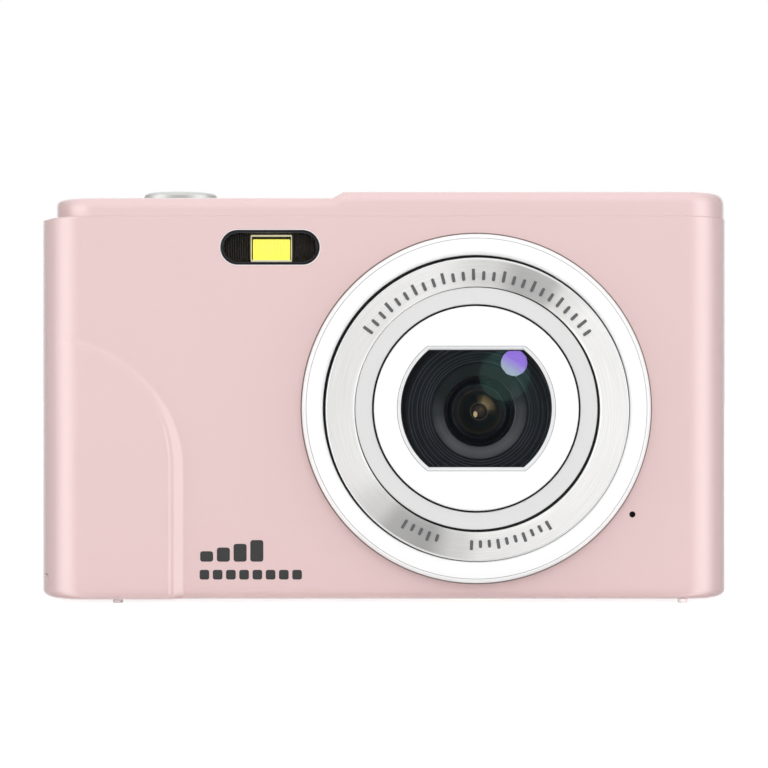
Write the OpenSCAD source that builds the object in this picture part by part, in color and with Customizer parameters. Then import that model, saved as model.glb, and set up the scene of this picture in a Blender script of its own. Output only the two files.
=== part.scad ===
// Compact digital camera: a moulded two-part case with a top cover, a fixed lens in stepped rings,
// a lamp flash, rear display and keys, a battery and card door, and the working parts inside.
// X runs to the viewer's right when the lens faces the viewer, the lens faces -Y, and Z is up.
// The origin is midway across the case, level with the bottom of the feet.

/* [Body] */
// Width of the case
body_w = 94; // [90:1:100]
// Thickness of the case, without the lens rings and the keys
body_d = 20.2; // [20:0.1:22]
// How far the case tapers in towards each rounded side, seen from above
side_a = 6.5; // [5.5:0.1:7]
// Height of the seam under the top cover
seam_z = 52.1; // [52:0.1:53]
// Wall thickness of the covers
wall = 1.2; // [1.1:0.05:1.25]
// How far the feet stand below the case
foot_h = 0.5; // [0.4:0.1:0.6]
// How far the grip stands out of the front face
grip_proud = 1.3; // [0.8:0.1:1.6]

/* [Top cover] */
// Height of the lower deck, under the shutter finger
deck_low_z = 54.66; // [54.5:0.02:54.8]
// Height of the higher deck, over the lens
deck_high_z = 55.5; // [55.4:0.1:55.8]
// Inset of the top cover from the grip side
top_inset = 1.9; // [1.5:0.1:2.2]

/* [Lens] */
// Distance of the lens axis from the middle of the case
lens_x = 12.33; // [11:0.01:13]
// Height of the lens axis
lens_z = 26.27; // [26:0.01:28]
// How far the outer ring stands out of the front face
ring_proud = 3.4; // [3.2:0.1:3.6]
// Radius of the outer ring
bezel_r = 23.5; // [23.2:0.1:23.6]
// Radius where the brushed ring meets the outer ring
dress_r = 20.4; // [20.3:0.1:20.6]
// Radius where the trim ring meets the brushed ring
trim_r = 16.3; // [16:0.1:16.6]
// Radius of the front cap
cap_r = 13.8; // [13.6:0.1:14]
// Radius of the window in the cap, between its two flats
window_r = 10.15; // [10:0.05:10.3]
// Half the distance between the window's flats
window_flat = 7.85; // [7.75:0.05:8]

// Width of the bevel round the window
window_bevel = 0.45; // [0.3:0.05:0.6]

/* [Flash] */
// Distance of the flash from the middle of the case
flash_x = -15.33; // [-15.6:0.01:-15]
// Height of the flash
flash_z = 47.92; // [47.8:0.01:48]
// Length of the flash window
flash_w = 13.3; // [13:0.1:13.6]
// Height of the flash window
flash_h = 4.6; // [4.4:0.1:4.7]

/* [Top buttons] */
// Distance of the shutter button from the middle of the case
shutter_x = -28.08; // [-29:0.01:-27]
// Radius of the shutter button
shutter_r = 5.05; // [4.9:0.05:5.2]
// Travel of the shutter button
shutter_travel = 0.8; // [0.5:0.1:0.8]
// Distance of the power button from the middle of the case
power_x = -14; // [-15:0.5:-13]

/* [Rear] */
// How far the keys stand out of the back
key_proud = 0.4; // [0.3:0.05:0.5]
// Width of the display window
window_w = 55; // [54:0.5:55]
// Height of the display window
window_h = 44; // [42:0.5:44]
// Middle of the display window
window_x = 11; // [10.5:0.5:11]
// Middle of the column of keys
keys_x = -30.5; // [-31:0.5:-30]
// Height of the direction keys' middle
pad_z = 24.5; // [24:0.5:25]
// Radius of the round keys
key_r = 2.3; // [2.1:0.1:2.4]

/* [Battery door] */
// Height to which the door wraps up the grip side
door_top = 3.8; // [3.6:0.1:4]
// Gap round the door
door_gap = 0.15; // [0.15:0.05:0.2]

/* [Hidden] */
$fn = 64;
base_z = foot_h;
half_w = body_w / 2;
front_y = -8.6;
back_y = front_y + body_d;
mid_y = (front_y + back_y) / 2;
side_b = body_d / 2;
in_front = front_y + wall;
in_back = back_y - wall;
floor_z = base_z + wall;
top_left = -half_w + top_inset;
top_right = half_w - 0.15;
ramp = [-6.86, -5.51];
shoulder_in = 3.4;
snug = 0.05;
slack = 0.2;

// Grip: its step off the front face, as a curve that falls from the side and turns down
grip_top_z = 35.6;
grip_foot_x = -28.1;
grip_turn_z = 21.5;
grip_left_x = -43.6;

// Lamp behind the flash window, and the top of the switch under the shutter button
lamp_w = 5;
lamp_h = 2.9;
switch_top = 50.4;

// Lens stack, measured forward from the front face along the lens axis
flange_t = 1.6;
dress_front = 2.9;
trim_front = 2.3;
cap_front = 2.9;
barrel_r = 12.8;
barrel_back = -9;
hole_r = 15.2;
neck_r = 15.1;
element_r = 4.8;
retainer_r = 6.4;
element_seat = -3.2;

// Battery, its bay and the card behind it
bay = [[-42.4, -6, 3], [-4.8, 2.4, 44.6]];
bay_wall = 0.8;
battery = [[-41.2, -4.9, 3.4], [-6, 1.3, 43.3]];
socket = [[-36, 2.6, 9], [-9, 5.2, 36.8]];
card = [[-34.5, 2.86, 3.4], [-10.5, 4.94, 35.4]];

// Door and its hinge at the inner end
door_x = [-half_w - 1, -4.2];
door_y = [-6.3, 6.7];
hinge_x = -5.4;
hinge_z = 1.45;
knuckle_r = 0.85;
door_pin_r = 0.4;
latch_x = -30;
latch_y = 2.2;
latch_travel = 1.5;

// Boards behind the lens
board_y = [5.4, 6.4];
panel_y = [7.2, 9.4];
key_board_y = [7.6, 8.4];
key_in = 9.75;
key_out = back_y + key_proud;
dome_top = 9.3;
flange_out = 0.5;

// Rear keys: places as [x, z]
play_at = [keys_x - 6, 37.2];
menu_at = [keys_x + 6, 37.2];
delete_at = [keys_x - 6, 11.5];
mode_at = [keys_x + 6, 11.5];
pad_at = [keys_x, pad_z];
ok_r = 3.1;
pad_in = 4.4;
pad_out = 8.6;
pad_half = 36;
pad_turns = [90, 270, 0, 180];
rocker_z = 46.2;
rocker = [14, 4.6];
rocker_pin_r = 0.5;
pivot_y = 9.6;
lamp_at = [-20.2, 42.6];

// USB cover on the side away from the grip
usb_z = [34.2, 45.8];
usb_y = [mid_y + 0.2, 7.2];
usb_axis = [45.2, 7.35];
usb_barrel_r = 0.45;
usb_pin_r = 0.25;

// Strap bar on the grip side, speaker and microphone
strap_z = [26.8, 33.2];
strap_y = [3.4, 7.6];
strap_bar_r = 0.5;
speaker_z = 26.35;
speaker_pitch = 1.73;
mic_at = [33.4, 12];
tripod_at = [12.3, 1.5];
tripod_r = 2.55;
tripod_top = 6.2;
feet_x = [-35.9, 40.3];
feet_y = [-7.2, 8.6];
bottom_screws = [22, 38];
side_screws = [46, 10.5];
screw_y = 5.2;

pink = "#e8cccb";

// Points of an elliptical arc about c, from angle a to angle b
function arc(c, rx, ry, a, b, n = 24) =
    [for (i = [0:n]) let (t = a + (b - a) * i / n) [c[0] + rx * cos(t), c[1] + ry * sin(t)]];

// Outline of the case from above: flat front and back, and elliptical sides, deeper on the grip side by bulge
module plan(inset = 0, left = -half_w, right = half_w, bulge = 0) {
    rx = side_a - inset;
    ry = side_b - inset;
    polygon(concat(
        arc([right - side_a, mid_y], rx, ry + bulge, -90, 90),
        arc([left + side_a, mid_y], rx, ry + bulge, 90, 270)));
}

// A block between two opposite corners
module block(a, b) {
    translate(a) cube([b[0] - a[0], b[1] - a[1], b[2] - a[2]]);
}

// Half of the plan, in front of or behind the parting line
module half_plan(front, inset = 0) {
    intersection() {
        plan(inset);
        translate([-half_w - 1, front ? mid_y - 20 : mid_y]) square([body_w + 2, 20]);
    }
}

// Children drawn on the lens axis, with +Z out of the lens and zero at the front face
module on_lens() {
    translate([lens_x, front_y, lens_z]) rotate([90, 0, 0]) children();
}

// Children drawn in the XZ plane at a place, extruded between two depths
module from_front(at, y0, y1) {
    translate([at[0], y1, at[1]]) rotate([90, 0, 0]) linear_extrude(y1 - y0) children();
}

// A ring about the lens axis from z0 to z1
module ring(r_out, r_in, z0, z1) {
    translate([0, 0, z0]) difference() {
        cylinder(h = z1 - z0, r = r_out);
        translate([0, 0, -1]) cylinder(h = z1 - z0 + 2, r = r_in);
    }
}

// A slot shape with round ends, lying along X
module pill(w, h) {
    square([w - h, h], center = true);
    for (s = [-1, 1]) translate([s * (w - h) / 2, 0]) circle(d = h);
}

// A rectangle with round corners
module round_rect(w, h, r) {
    square([w, h - 2 * r], center = true);
    square([w - 2 * r, h], center = true);
    for (x = [-1, 1], z = [-1, 1]) translate([x * (w / 2 - r), z * (h / 2 - r)]) circle(r);
}

// The case wall and floor on one side of the parting line, with the shoulder under the top cover
module cover_half(front) {
    translate([0, 0, base_z]) linear_extrude(seam_z - base_z) difference() {
        half_plan(front);
        half_plan(front, wall);
    }
    translate([0, 0, base_z]) linear_extrude(wall) half_plan(front);
    translate([0, 0, seam_z - wall]) linear_extrude(wall) intersection() {
        difference() {
            half_plan(front);
            half_plan(front, shoulder_in);
        }
        translate([-half_w, -20]) square([12, 40]);
    }
}

// The opening that the door fills, smaller by the gap on every side
module door_room(gap = 0) {
    block([door_x[0], door_y[0] + gap, base_z - 0.1], [door_x[1] - gap, door_y[1] - gap, door_top + 0.15 - gap]);
}

// Outline of the grip on the front face: a falling curve, then a straight edge down
module grip_outline() {
    rise = grip_top_z - grip_turn_z;
    reach = grip_foot_x - grip_left_x;
    curve = arc([grip_left_x, grip_turn_z], reach, rise, 0, 90, 20);
    polygon(concat([[-half_w, base_z], [grip_foot_x, base_z]], curve, [[-half_w, grip_top_z]]));
}

// Grip: the part of a deeper case, inside the outline and ahead of the parting line
module grip() {
    intersection() {
        from_front([0, 0], front_y - grip_proud, mid_y) grip_outline();
        difference() {
            translate([0, 0, base_z]) linear_extrude(seam_z) plan(0, bulge = grip_proud);
            translate([0, 0, -1]) linear_extrude(seam_z + 2) plan(wall);
        }
    }
}

// Keys and their holes, as flat shapes grown by g
module pad_key_2d(turn, g) {
    ro = pad_out + g;
    ri = pad_in - g;
    ao = pad_half + asin(g / ro);
    ai = pad_half + asin(g / ri);
    rotate(turn) polygon(concat(arc([0, 0], ro, ro, -ao, ao, 10), arc([0, 0], ri, ri, ai, -ai, 10)));
}

// A round key cap through the back, with a flange inside
module round_key(at, r) {
    from_front(at, key_in, key_out) circle(r);
    from_front(at, key_in, key_in + flange_out) circle(r + flange_out);
}

module pad_key(turn) {
    from_front(pad_at, key_in, key_out) pad_key_2d(turn, 0);
    from_front(pad_at, key_in, key_in + flange_out) pad_key_2d(turn, flange_out - 0.1);
}

// Holes through the back for every key, the rocker and the lamp
module key_holes() {
    for (at = [play_at, menu_at, delete_at, mode_at])
        from_front(at, in_back - 1, back_y + 1) circle(key_r + slack);
    from_front(pad_at, in_back - 1, back_y + 1) circle(ok_r + slack);
    for (turn = pad_turns) from_front(pad_at, in_back - 1, back_y + 1) pad_key_2d(turn, slack);
    from_front([keys_x, rocker_z], in_back - 1, back_y + 1) round_rect(rocker[0] + 0.6, rocker[1] + 0.6, 2);
    from_front(lamp_at, in_back - 1, back_y + 1) circle(0.6 + snug);
}

// Side profile of the top cover, seen from the front, shrunk by t
module top_profile(t = 0) {
    low = deck_low_z - t;
    high = deck_high_z - t;
    polygon([
        [top_left, seam_z - 1], [top_left, low - 0.6], [top_left + 0.5, low],
        [ramp[0], low], [ramp[1], high],
        [top_right - 0.9, high], [top_right, high - 1.45], [top_right, seam_z - 1]]);
}

module front_cover() {
    color(pink) difference() {
        union() {
            cover_half(true);
            grip();
            for (x = bottom_screws) {
                block([x - 2.5, -2, floor_z - 0.2], [x + 2.5, mid_y, 3.9]);
                block([x - 2.5, mid_y - 0.1, floor_z + snug], [x + 2.5, 7.4, 3.9]);
            }
            block([hinge_x - 1.2, in_front - 0.1, base_z], [door_x[1] + 0.5, door_y[0] - slack, 2.4]);
        }
        on_lens() {
            translate([0, 0, -3]) cylinder(h = 6, r = hole_r);
            for (a = [90, 210, 330]) rotate(a) translate([21.9, 0, -3]) cylinder(h = 6, r = 0.8 + snug);
        }
        from_front([flash_x, flash_z], front_y - 1, in_front + 1) pill(flash_w + 0.1, flash_h + 0.1);
        from_front(mic_at, front_y - 1, in_front + 1) circle(0.42);
        door_room();
        translate([hinge_x, in_front - 0.5, hinge_z]) rotate([-90, 0, 0]) cylinder(h = 2, r = door_pin_r);
        translate([tripod_at[0], tripod_at[1], 0]) cylinder(h = 3, r = 4.55);
        for (x = bottom_screws) translate([x, screw_y, 0]) cylinder(h = 6, r = 0.7);
    }
}

module rear_cover() {
    color(pink) difference() {
        union() {
            cover_half(false);
            // Ledge that the display window is glued to
            from_front([window_x, 26.5], panel_y[1] + 0.1, in_back + 0.1)
                square([window_w + 2.4, window_h + 2.4], center = true);
            // Lugs for the rocker's pin
            for (s = [-1, 1]) translate([keys_x, 0, rocker_z + s * 3.3])
                block([-1.2, 8.6, -0.4], [1.2, in_back + 0.1, 0.4]);
            block([hinge_x - 1.2, door_y[1] + slack, base_z], [door_x[1] + 0.5, 8.4, 2.4]);
        }
        from_front([window_x, 26.5], in_back, back_y + 1) square([window_w + 0.1, window_h + 0.1], center = true);
        from_front([window_x, 26.5], 0, back_y + 1) square([window_w - 4, window_h - 4.4], center = true);
        key_holes();
        door_room();
        translate([hinge_x, door_y[1] - 0.5, hinge_z]) rotate([-90, 0, 0]) cylinder(h = 2, r = door_pin_r);
        translate([keys_x, pivot_y, rocker_z - 5]) cylinder(h = 10, r = rocker_pin_r);
        translate([tripod_at[0], tripod_at[1], 0]) cylinder(h = 3, r = 4.55);
        // USB opening, with its hinge pin's holes above and below
        block([40, mid_y - 0.1, usb_z[0] - slack], [half_w + 1, usb_axis[1] + 0.85, usb_z[1] + slack]);
        translate([usb_axis[0], usb_axis[1], usb_z[0] - 1]) cylinder(h = 13.6, r = usb_pin_r);
        // Strap opening, with its bar's holes above and below
        block([-half_w - 1, strap_y[0], strap_z[0]], [-40, strap_y[1], strap_z[1]]);
        translate([-45.75, 5.5, strap_z[0] - 1]) cylinder(h = 8.4, r = strap_bar_r);
        // Speaker holes through the side, on the parting line
        for (i = [-1.5:1:1.5]) translate([40, mid_y, speaker_z + i * speaker_pitch])
            rotate([0, 90, 0]) cylinder(h = 10, r = 0.39);
        for (x = bottom_screws) translate([x, screw_y, 0]) {
            cylinder(h = 6, r = 0.75);
            cylinder(h = base_z + 0.6, r = 1.4);
        }
        translate([-half_w - 1, screw_y - 1.2, side_screws[0]]) rotate([0, 90, 0]) {
            cylinder(h = 1.8, r = 1.4);
            cylinder(h = 6, r = 0.75);
        }
        translate([half_w + 1, screw_y - 1.2, side_screws[1]]) rotate([0, -90, 0]) {
            cylinder(h = 1.8, r = 1.4);
            cylinder(h = 6, r = 0.75);
        }
    }
}

module top_cover() {
    color(pink) difference() {
        intersection() {
            translate([0, 0, seam_z]) linear_extrude(5) plan(0, top_left, top_right);
            from_front([0, 0], front_y - 1, back_y + 1) top_profile();
        }
        intersection() {
            translate([0, 0, seam_z - 1]) linear_extrude(5) plan(wall, top_left, top_right);
            from_front([0, 0], front_y - 1, back_y + 1) top_profile(wall);
        }
        translate([shutter_x, mid_y, 50]) cylinder(h = 10, r = shutter_r + 0.15);
        translate([power_x, mid_y, 50]) cylinder(h = 10, r = 3.15);
    }
    // Low collar round the shutter button
    color(pink) translate([shutter_x, mid_y, deck_low_z - 0.1]) difference() {
        cylinder(h = 0.3, r1 = 6.15, r2 = 5.5);
        translate([0, 0, -1]) cylinder(h = 3, r = shutter_r + 0.15);
    }
}

module lens_bezel() {
    w = bezel_r - dress_r - snug;
    color("whitesmoke") on_lens() {
        rotate_extrude() translate([dress_r + snug, 0]) polygon([
            [0, 0], [w, 0], [w, 1.6], [w - 0.35, 2.6], [w - 0.9, 3.2], [w - 1.5, ring_proud],
            [0.9, ring_proud], [0.35, 3.2], [0, 2.9]]);
        for (a = [90, 210, 330]) rotate(a) translate([21.9, 0, -1.7]) cylinder(h = 1.8, r = 0.8);
    }
}

module dress_ring() {
    color("silver") on_lens() rotate_extrude() polygon([
        [trim_r + snug, flange_t], [dress_r - 0.1, flange_t], [dress_r - 0.1, dress_front - 0.2],
        [dress_r - 0.3, dress_front], [trim_r + 0.25, dress_front - 0.35], [trim_r + snug, dress_front - 0.5]]);
}

module trim_ring() {
    color("gainsboro") on_lens() ring(trim_r - snug, cap_r + snug, flange_t, trim_front);
}

// The window's outline: a circle with its top and bottom cut off flat
module window_2d(grow = 0) {
    intersection() {
        circle(window_r + grow);
        square([2 * window_r + 4, 2 * (window_flat + grow)], center = true);
    }
}

module lens_cap() {
    color("white") on_lens() difference() {
        rotate_extrude() polygon([
            [0, flange_t], [cap_r - 0.05, flange_t], [cap_r - 0.05, cap_front - 0.3],
            [cap_r - 0.3, cap_front], [0, cap_front]]);
        linear_extrude(10) window_2d();
        hull() {
            translate([0, 0, cap_front - window_bevel]) linear_extrude(0.01) window_2d();
            translate([0, 0, cap_front]) linear_extrude(0.01) window_2d(window_bevel);
        }
    }
}

module lens_window() {
    color([0.8, 0.85, 0.9, 0.3]) on_lens()
        translate([0, 0, flange_t + snug]) linear_extrude(0.7) window_2d(-0.05);
}

// Stepped cone that stops stray light, closing in on the front element
module lens_baffle() {
    steps = 5;
    fall = flange_t - element_seat - 1.4;
    color("#141414") on_lens() rotate_extrude() polygon(concat(
        [for (i = [0:steps - 1], k = [0, 1])
            let (r = window_r - (i + k) * (window_r - retainer_r) / steps) [r, flange_t - snug - i * fall / steps]],
        [[retainer_r, element_seat], [window_r + 0.6, element_seat], [window_r + 0.6, flange_t - snug]]));
}

module lens_barrel() {
    color("#202020") on_lens() rotate_extrude() polygon([
        [window_r + 0.65, element_seat - snug], [retainer_r - 1.4, element_seat - snug],
        [retainer_r - 1.4, barrel_back], [barrel_r, barrel_back], [barrel_r, -wall - 1.2], [neck_r, -wall - 1.2],
        [neck_r, 0.02], [dress_r - 0.05, 0.02], [dress_r - 0.05, flange_t - 0.02], [window_r + 0.65, flange_t - 0.02]]);
}

module retainer_ring() {
    color("gray") on_lens() ring(retainer_r - snug, element_r + snug, element_seat, element_seat + 0.9);
}

// A lens that bulges forward by rise and has a flat back, between z0 and its rim
module plano_lens(r, z0, rim, rise) {
    s = (r * r + rise * rise) / (2 * rise);
    a = asin(r / s);
    rotate_extrude() polygon(concat([[0, z0], [r, z0]],
        [for (i = [0:10]) let (t = a * (1 - i / 10)) [s * sin(t), rim + s * cos(t) - s * cos(a)]]));
}

module front_element() {
    color([0.2, 0.25, 0.35, 0.6]) on_lens() plano_lens(element_r, element_seat, element_seat + 0.4, 1.2);
}

module aperture_plate() {
    color("#181818") on_lens() ring(retainer_r - 1.5, 1.15, element_seat - 0.6, element_seat - 0.3);
}

module rear_element() {
    color([0.3, 0.35, 0.45, 0.6]) on_lens() plano_lens(retainer_r - 1.5, element_seat - 4.4, element_seat - 3.6, 1.4);
}

module ir_filter() {
    color([0.6, 0.8, 0.8, 0.5]) on_lens() translate([0, 0, barrel_back - 0.4])
        linear_extrude(0.35) square([11, 11], center = true);
}

module image_sensor() {
    color("#303038") on_lens() translate([0, 0, barrel_back - 1.7])
        linear_extrude(1.2) square([10, 10], center = true);
}

module sensor_board() {
    color("darkgreen") on_lens() translate([0, 0, barrel_back - 2.6])
        linear_extrude(0.8) square([24, 22], center = true);
}

module flash_window() {
    color([0.95, 0.95, 0.9, 0.35]) from_front([flash_x, flash_z], front_y, front_y + 0.7) pill(flash_w, flash_h);
}

module flash_reflector() {
    color("#151515") difference() {
        from_front([flash_x, flash_z], front_y + 0.75, -3.6) pill(flash_w - 0.1, flash_h - 0.1);
        from_front([flash_x, flash_z], front_y, -4.4) pill(flash_w - 1, flash_h - 0.9);
        from_front([flash_x + 0.13, flash_z - 0.29], -5, -3) square([lamp_w + 0.1, lamp_h + 0.1], center = true);
    }
}

module flash_lamp() {
    color("gold") from_front([flash_x + 0.13, flash_z - 0.29], -5.6, -3.6) square([lamp_w, lamp_h], center = true);
}

module flash_board() {
    color("darkgreen") from_front([flash_x, flash_z], -3.55, -2.75) square([15, 5.6], center = true);
}

module microphone() {
    color("silver") from_front(mic_at, in_front + snug, in_front + 1.8) circle(2);
}

module speaker() {
    color("dimgray") translate([40.2, 0, speaker_z]) rotate([0, 90, 0]) {
        cylinder(h = 2.4, r = 5.2);
        translate([0, 0, 2.3]) cylinder(h = 0.6, r = 4.4);
    }
}

module chassis() {
    color("lightgray") difference() {
        block([-17, board_y[1] + 0.2, 4], [39, board_y[1] + 0.6, 49.5]);
        for (x = [-10, 30], z = [10, 42]) from_front([x, z], 0, 10) circle(1.2);
    }
}

module main_board() {
    color("darkgreen") difference() {
        block([-41, board_y[0], 4.2], [39.5, board_y[1], 47]);
        for (x = [-38, 36], z = [7.5, 44]) from_front([x, z], 0, 10) circle(1.1);
        from_front([tripod_at[0], base_z], 0, 10) square([12, 14], center = true);
    }
}

// Chips, the shield can and the display connector, all on the main board
module board_parts() {
    color("lightgray") block([27, 3.6, 9], [38, board_y[0], 31]);
    color("#202020") {
        block([-3.8, 4.2, 8], [3.2, board_y[0], 14]);
        block([-3.8, 4.4, 38], [1.2, board_y[0], 42]);
        block([27, 4.2, 44], [33, board_y[0], 46.6]);
        for (i = [0:4]) block([5 + 3 * i, 4.7, 9], [6.6 + 3 * i, board_y[0], 10]);
    }
}

module display_panel() {
    color("#282c34") from_front([window_x, 26.5], panel_y[0], panel_y[1]) square([53, 41], center = true);
}

module display_window() {
    color([0.1, 0.1, 0.12, 0.8]) from_front([window_x, 26.5], in_back + snug, back_y - 0.1)
        square([window_w, window_h], center = true);
}

module key_board() {
    color("darkgreen") block([-43, key_board_y[0], 6], [-18.2, key_board_y[1], 49.5]);
}

// Snap domes under every key, and one under each end of the rocker
module key_domes() {
    pad = [for (t = pad_turns) [keys_x + 6.5 * cos(t), pad_z + 6.5 * sin(t)]];
    rocker_ends = [for (s = [-1, 1]) [keys_x + s * 5, rocker_z]];
    color("silver") for (at = concat([play_at, menu_at, delete_at, mode_at, pad_at], pad, rocker_ends))
        translate([at[0], key_board_y[1], at[1]]) rotate([-90, 0, 0]) {
            cylinder(h = 0.5, r = 1.8);
            translate([0, 0, 0.4]) cylinder(h = dome_top - key_board_y[1] - 0.4, r = 0.9);
        }
}

module battery_bay() {
    w = bay_wall;
    color("#303030") difference() {
        block(bay[0], bay[1]);
        block([bay[0][0] + w, bay[0][1] + w, bay[0][2] - 1], [bay[1][0] - w, bay[1][1] - w, bay[1][2] - w]);
    }
}

module battery() {
    color("#2c3e66") difference() {
        block(battery[0], battery[1]);
        for (i = [0:2]) translate([-38 + 3 * i, -2.6, battery[1][2] - 0.3]) cube([2, 1.6, 1]);
    }
}

module battery_contacts() {
    color("gold") for (i = [0:2]) translate([-38 + 3 * i, -2.6, battery[1][2] - 0.25]) cube([2, 1.6, 0.7]);
}

module card_socket() {
    t = 0.2;
    color("silver") difference() {
        block(socket[0], socket[1]);
        block([socket[0][0] + 1.2, socket[0][1] + t, socket[0][2] - 1],
            [socket[1][0] - 1.2, socket[1][1] - t, socket[1][2] - 1.2]);
    }
}

module memory_card() {
    color("#1c2f52") difference() {
        block(card[0], card[1]);
        translate([card[1][0], 0, card[1][2]]) rotate([0, 45, 0]) cube([5, 20, 5], center = true);
    }
}

module tripod_socket() {
    color("goldenrod") translate([tripod_at[0], tripod_at[1], 0]) difference() {
        union() {
            translate([0, 0, base_z]) cylinder(h = 7 - base_z, r = 4.5);
            translate([0, 0, floor_z + snug]) cylinder(h = 1, r = 5.8);
        }
        translate([0, 0, base_z - 1]) cylinder(h = tripod_top - base_z + 1, r = tripod_r);
    }
}

module usb_port() {
    z = (usb_z[0] + usb_z[1]) / 2;
    color("silver") difference() {
        block([36.5, 1.9, z - 3.9], [44.4, board_y[0], z + 3.9]);
        block([38, 2.2, z - 3.5], [50, board_y[0] - 0.3, z + 3.5]);
    }
    color("#202020") block([37, 3.3, z - 2.6], [43, 4, z + 2.6]);
}

module strap_bar() {
    color("silver") translate([-45.75, 5.5, strap_z[0] - 1]) cylinder(h = 8.4, r = strap_bar_r);
}

module feet() {
    color("gray") for (x = feet_x, y = feet_y) translate([x, y, 0]) {
        cylinder(h = base_z, r = 0.65);
    }
}

// A small pan-head screw with its head's top at the origin and its shank along +Z
module screw(length) {
    difference() {
        union() {
            translate([0, 0, 0.05]) cylinder(h = 0.5, r = 1.3);
            cylinder(h = length, r = 0.65);
        }
        translate([0, 0, -1]) cylinder(h = 1.35, r = 0.66);
    }
}

module case_screws() {
    color("silver") {
        for (x = bottom_screws) translate([x, screw_y, base_z]) screw(3.6);
        translate([-half_w + 0.25, screw_y - 1.2, side_screws[0]]) rotate([0, 90, 0]) screw(3);
        translate([half_w - 0.25, screw_y - 1.2, side_screws[1]]) rotate([0, -90, 0]) screw(3);
    }
}

module status_lamp() {
    color("orange") from_front(lamp_at, in_back - 0.4, back_y - 0.05) circle(0.6);
}

// Board under the top cover with the shutter and power switches
module top_switches() {
    color("darkgreen") block([-34, -1, 49.2], [-10.5, 4.6, 50]);
    color("black") {
        translate([shutter_x, mid_y, 49.9]) cylinder(h = switch_top - 49.95, r = 1.8);
        translate([power_x, mid_y, 49.9]) cylinder(h = 0.8, r = 1.6);
    }
}

// Coil spring: a round wire swept along a helix
spring_r = 3.4;
spring_wire = 0.22;
spring_turns = 2.5;
spring_z = [50.28, 52.42];
spring_steps = 40;

function coil_at(i) =
    let (f = i / spring_steps, a = 360 * spring_turns * f)
    [spring_r * cos(a), spring_r * sin(a), spring_z[0] + (spring_z[1] - spring_z[0]) * f];

function coil_ring(i) =
    let (p = coil_at(i), a = 360 * spring_turns * i / spring_steps)
    [for (k = [0:7]) p + spring_wire * [cos(k * 45) * cos(a), cos(k * 45) * sin(a), sin(k * 45)]];

module shutter_spring() {
    n = spring_steps;
    color("silver") translate([shutter_x, mid_y, 0]) polyhedron(
        points = [for (i = [0:n]) each coil_ring(i)],
        faces = concat(
            [[for (k = [0:7]) k]],
            [[for (k = [7:-1:0]) n * 8 + k]],
            [for (i = [0:n - 1], k = [0:7])
                [i * 8 + k, (i + 1) * 8 + k, (i + 1) * 8 + (k + 1) % 8, i * 8 + (k + 1) % 8]]));
}

// Pins of the rocker, the battery door and the USB cover
module hinge_pins() {
    color("silver") {
        translate([keys_x, pivot_y, rocker_z - 3.7]) cylinder(h = 7.4, r = rocker_pin_r);
        translate([hinge_x, in_front + 0.02, hinge_z]) rotate([-90, 0, 0]) cylinder(h = 15, r = door_pin_r);
        translate([usb_axis[0], usb_axis[1], usb_z[0] - 1]) cylinder(h = 13.6, r = usb_pin_r);
    }
}

module shutter_button() {
    r = shutter_r;
    color("silver") translate([shutter_x, mid_y, 0]) rotate_extrude() polygon([
        [0, switch_top + shutter_travel], [1.4, switch_top + shutter_travel], [1.4, 52.7], [r + 0.6, 52.7],
        [r + 0.6, 53.3], [r, 53.3], [r, 55.4], [r - 0.1, 55.6], [r - 0.35, 55.82], [r - 1.5, 55.97],
        [r - 3, 56.05], [0, 56.07]]);
}

module power_button() {
    color("silver") translate([power_x, mid_y, 0]) rotate_extrude() polygon([
        [0, 51.5], [1, 51.5], [1, 52.8], [3.5, 52.8], [3.5, 53.3], [3, 53.3],
        [3, 54.3], [2.8, 54.5], [0, 54.5]]);
}

module zoom_rocker() {
    color("silver") difference() {
        union() {
            from_front([keys_x, rocker_z], key_in, key_out) round_rect(rocker[0], rocker[1], 2);
            block([keys_x - 1.3, pivot_y - 1, rocker_z - 2.3], [keys_x + 1.3, key_in + 0.1, rocker_z + 2.3]);
        }
        translate([keys_x, pivot_y, rocker_z - 5]) cylinder(h = 10, r = rocker_pin_r + snug);
    }
}

module play_button() { color("silver") round_key(play_at, key_r); }
module menu_button() { color("silver") round_key(menu_at, key_r); }
module delete_button() { color("silver") round_key(delete_at, key_r); }
module mode_button() { color("silver") round_key(mode_at, key_r); }
module ok_key() { color("silver") round_key(pad_at, ok_r); }
module up_key() { color("silver") pad_key(pad_turns[0]); }
module down_key() { color("silver") pad_key(pad_turns[1]); }
module right_key() { color("silver") pad_key(pad_turns[2]); }
module left_key() { color("silver") pad_key(pad_turns[3]); }

// Door: a piece of the case's own wall and floor, with a knuckle along its inner end
module battery_door() {
    color(pink) difference() {
        union() {
            intersection() {
                difference() {
                    translate([0, 0, base_z]) linear_extrude(door_top) plan();
                    translate([0, 0, floor_z]) linear_extrude(door_top + 1) plan(wall);
                }
                door_room(door_gap);
                block([-half_w - 1, -20, 0], [hinge_x, 20, 10]);
            }
            translate([hinge_x, door_y[0] + door_gap, hinge_z]) rotate([-90, 0, 0])
                cylinder(h = door_y[1] - door_y[0] - 2 * door_gap, r = knuckle_r);
        }
        translate([hinge_x, -10, hinge_z]) rotate([-90, 0, 0]) cylinder(h = 20, r = door_pin_r + snug);
        block([latch_x - 4, latch_y - 2, 0], [latch_x + 4, latch_y + 2.1 + latch_travel, base_z + 0.65]);
        block([latch_x - 2.2, latch_y - 1.3, 0], [latch_x + 2.2, latch_y + 1.3 + latch_travel, 3]);
    }
}

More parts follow.
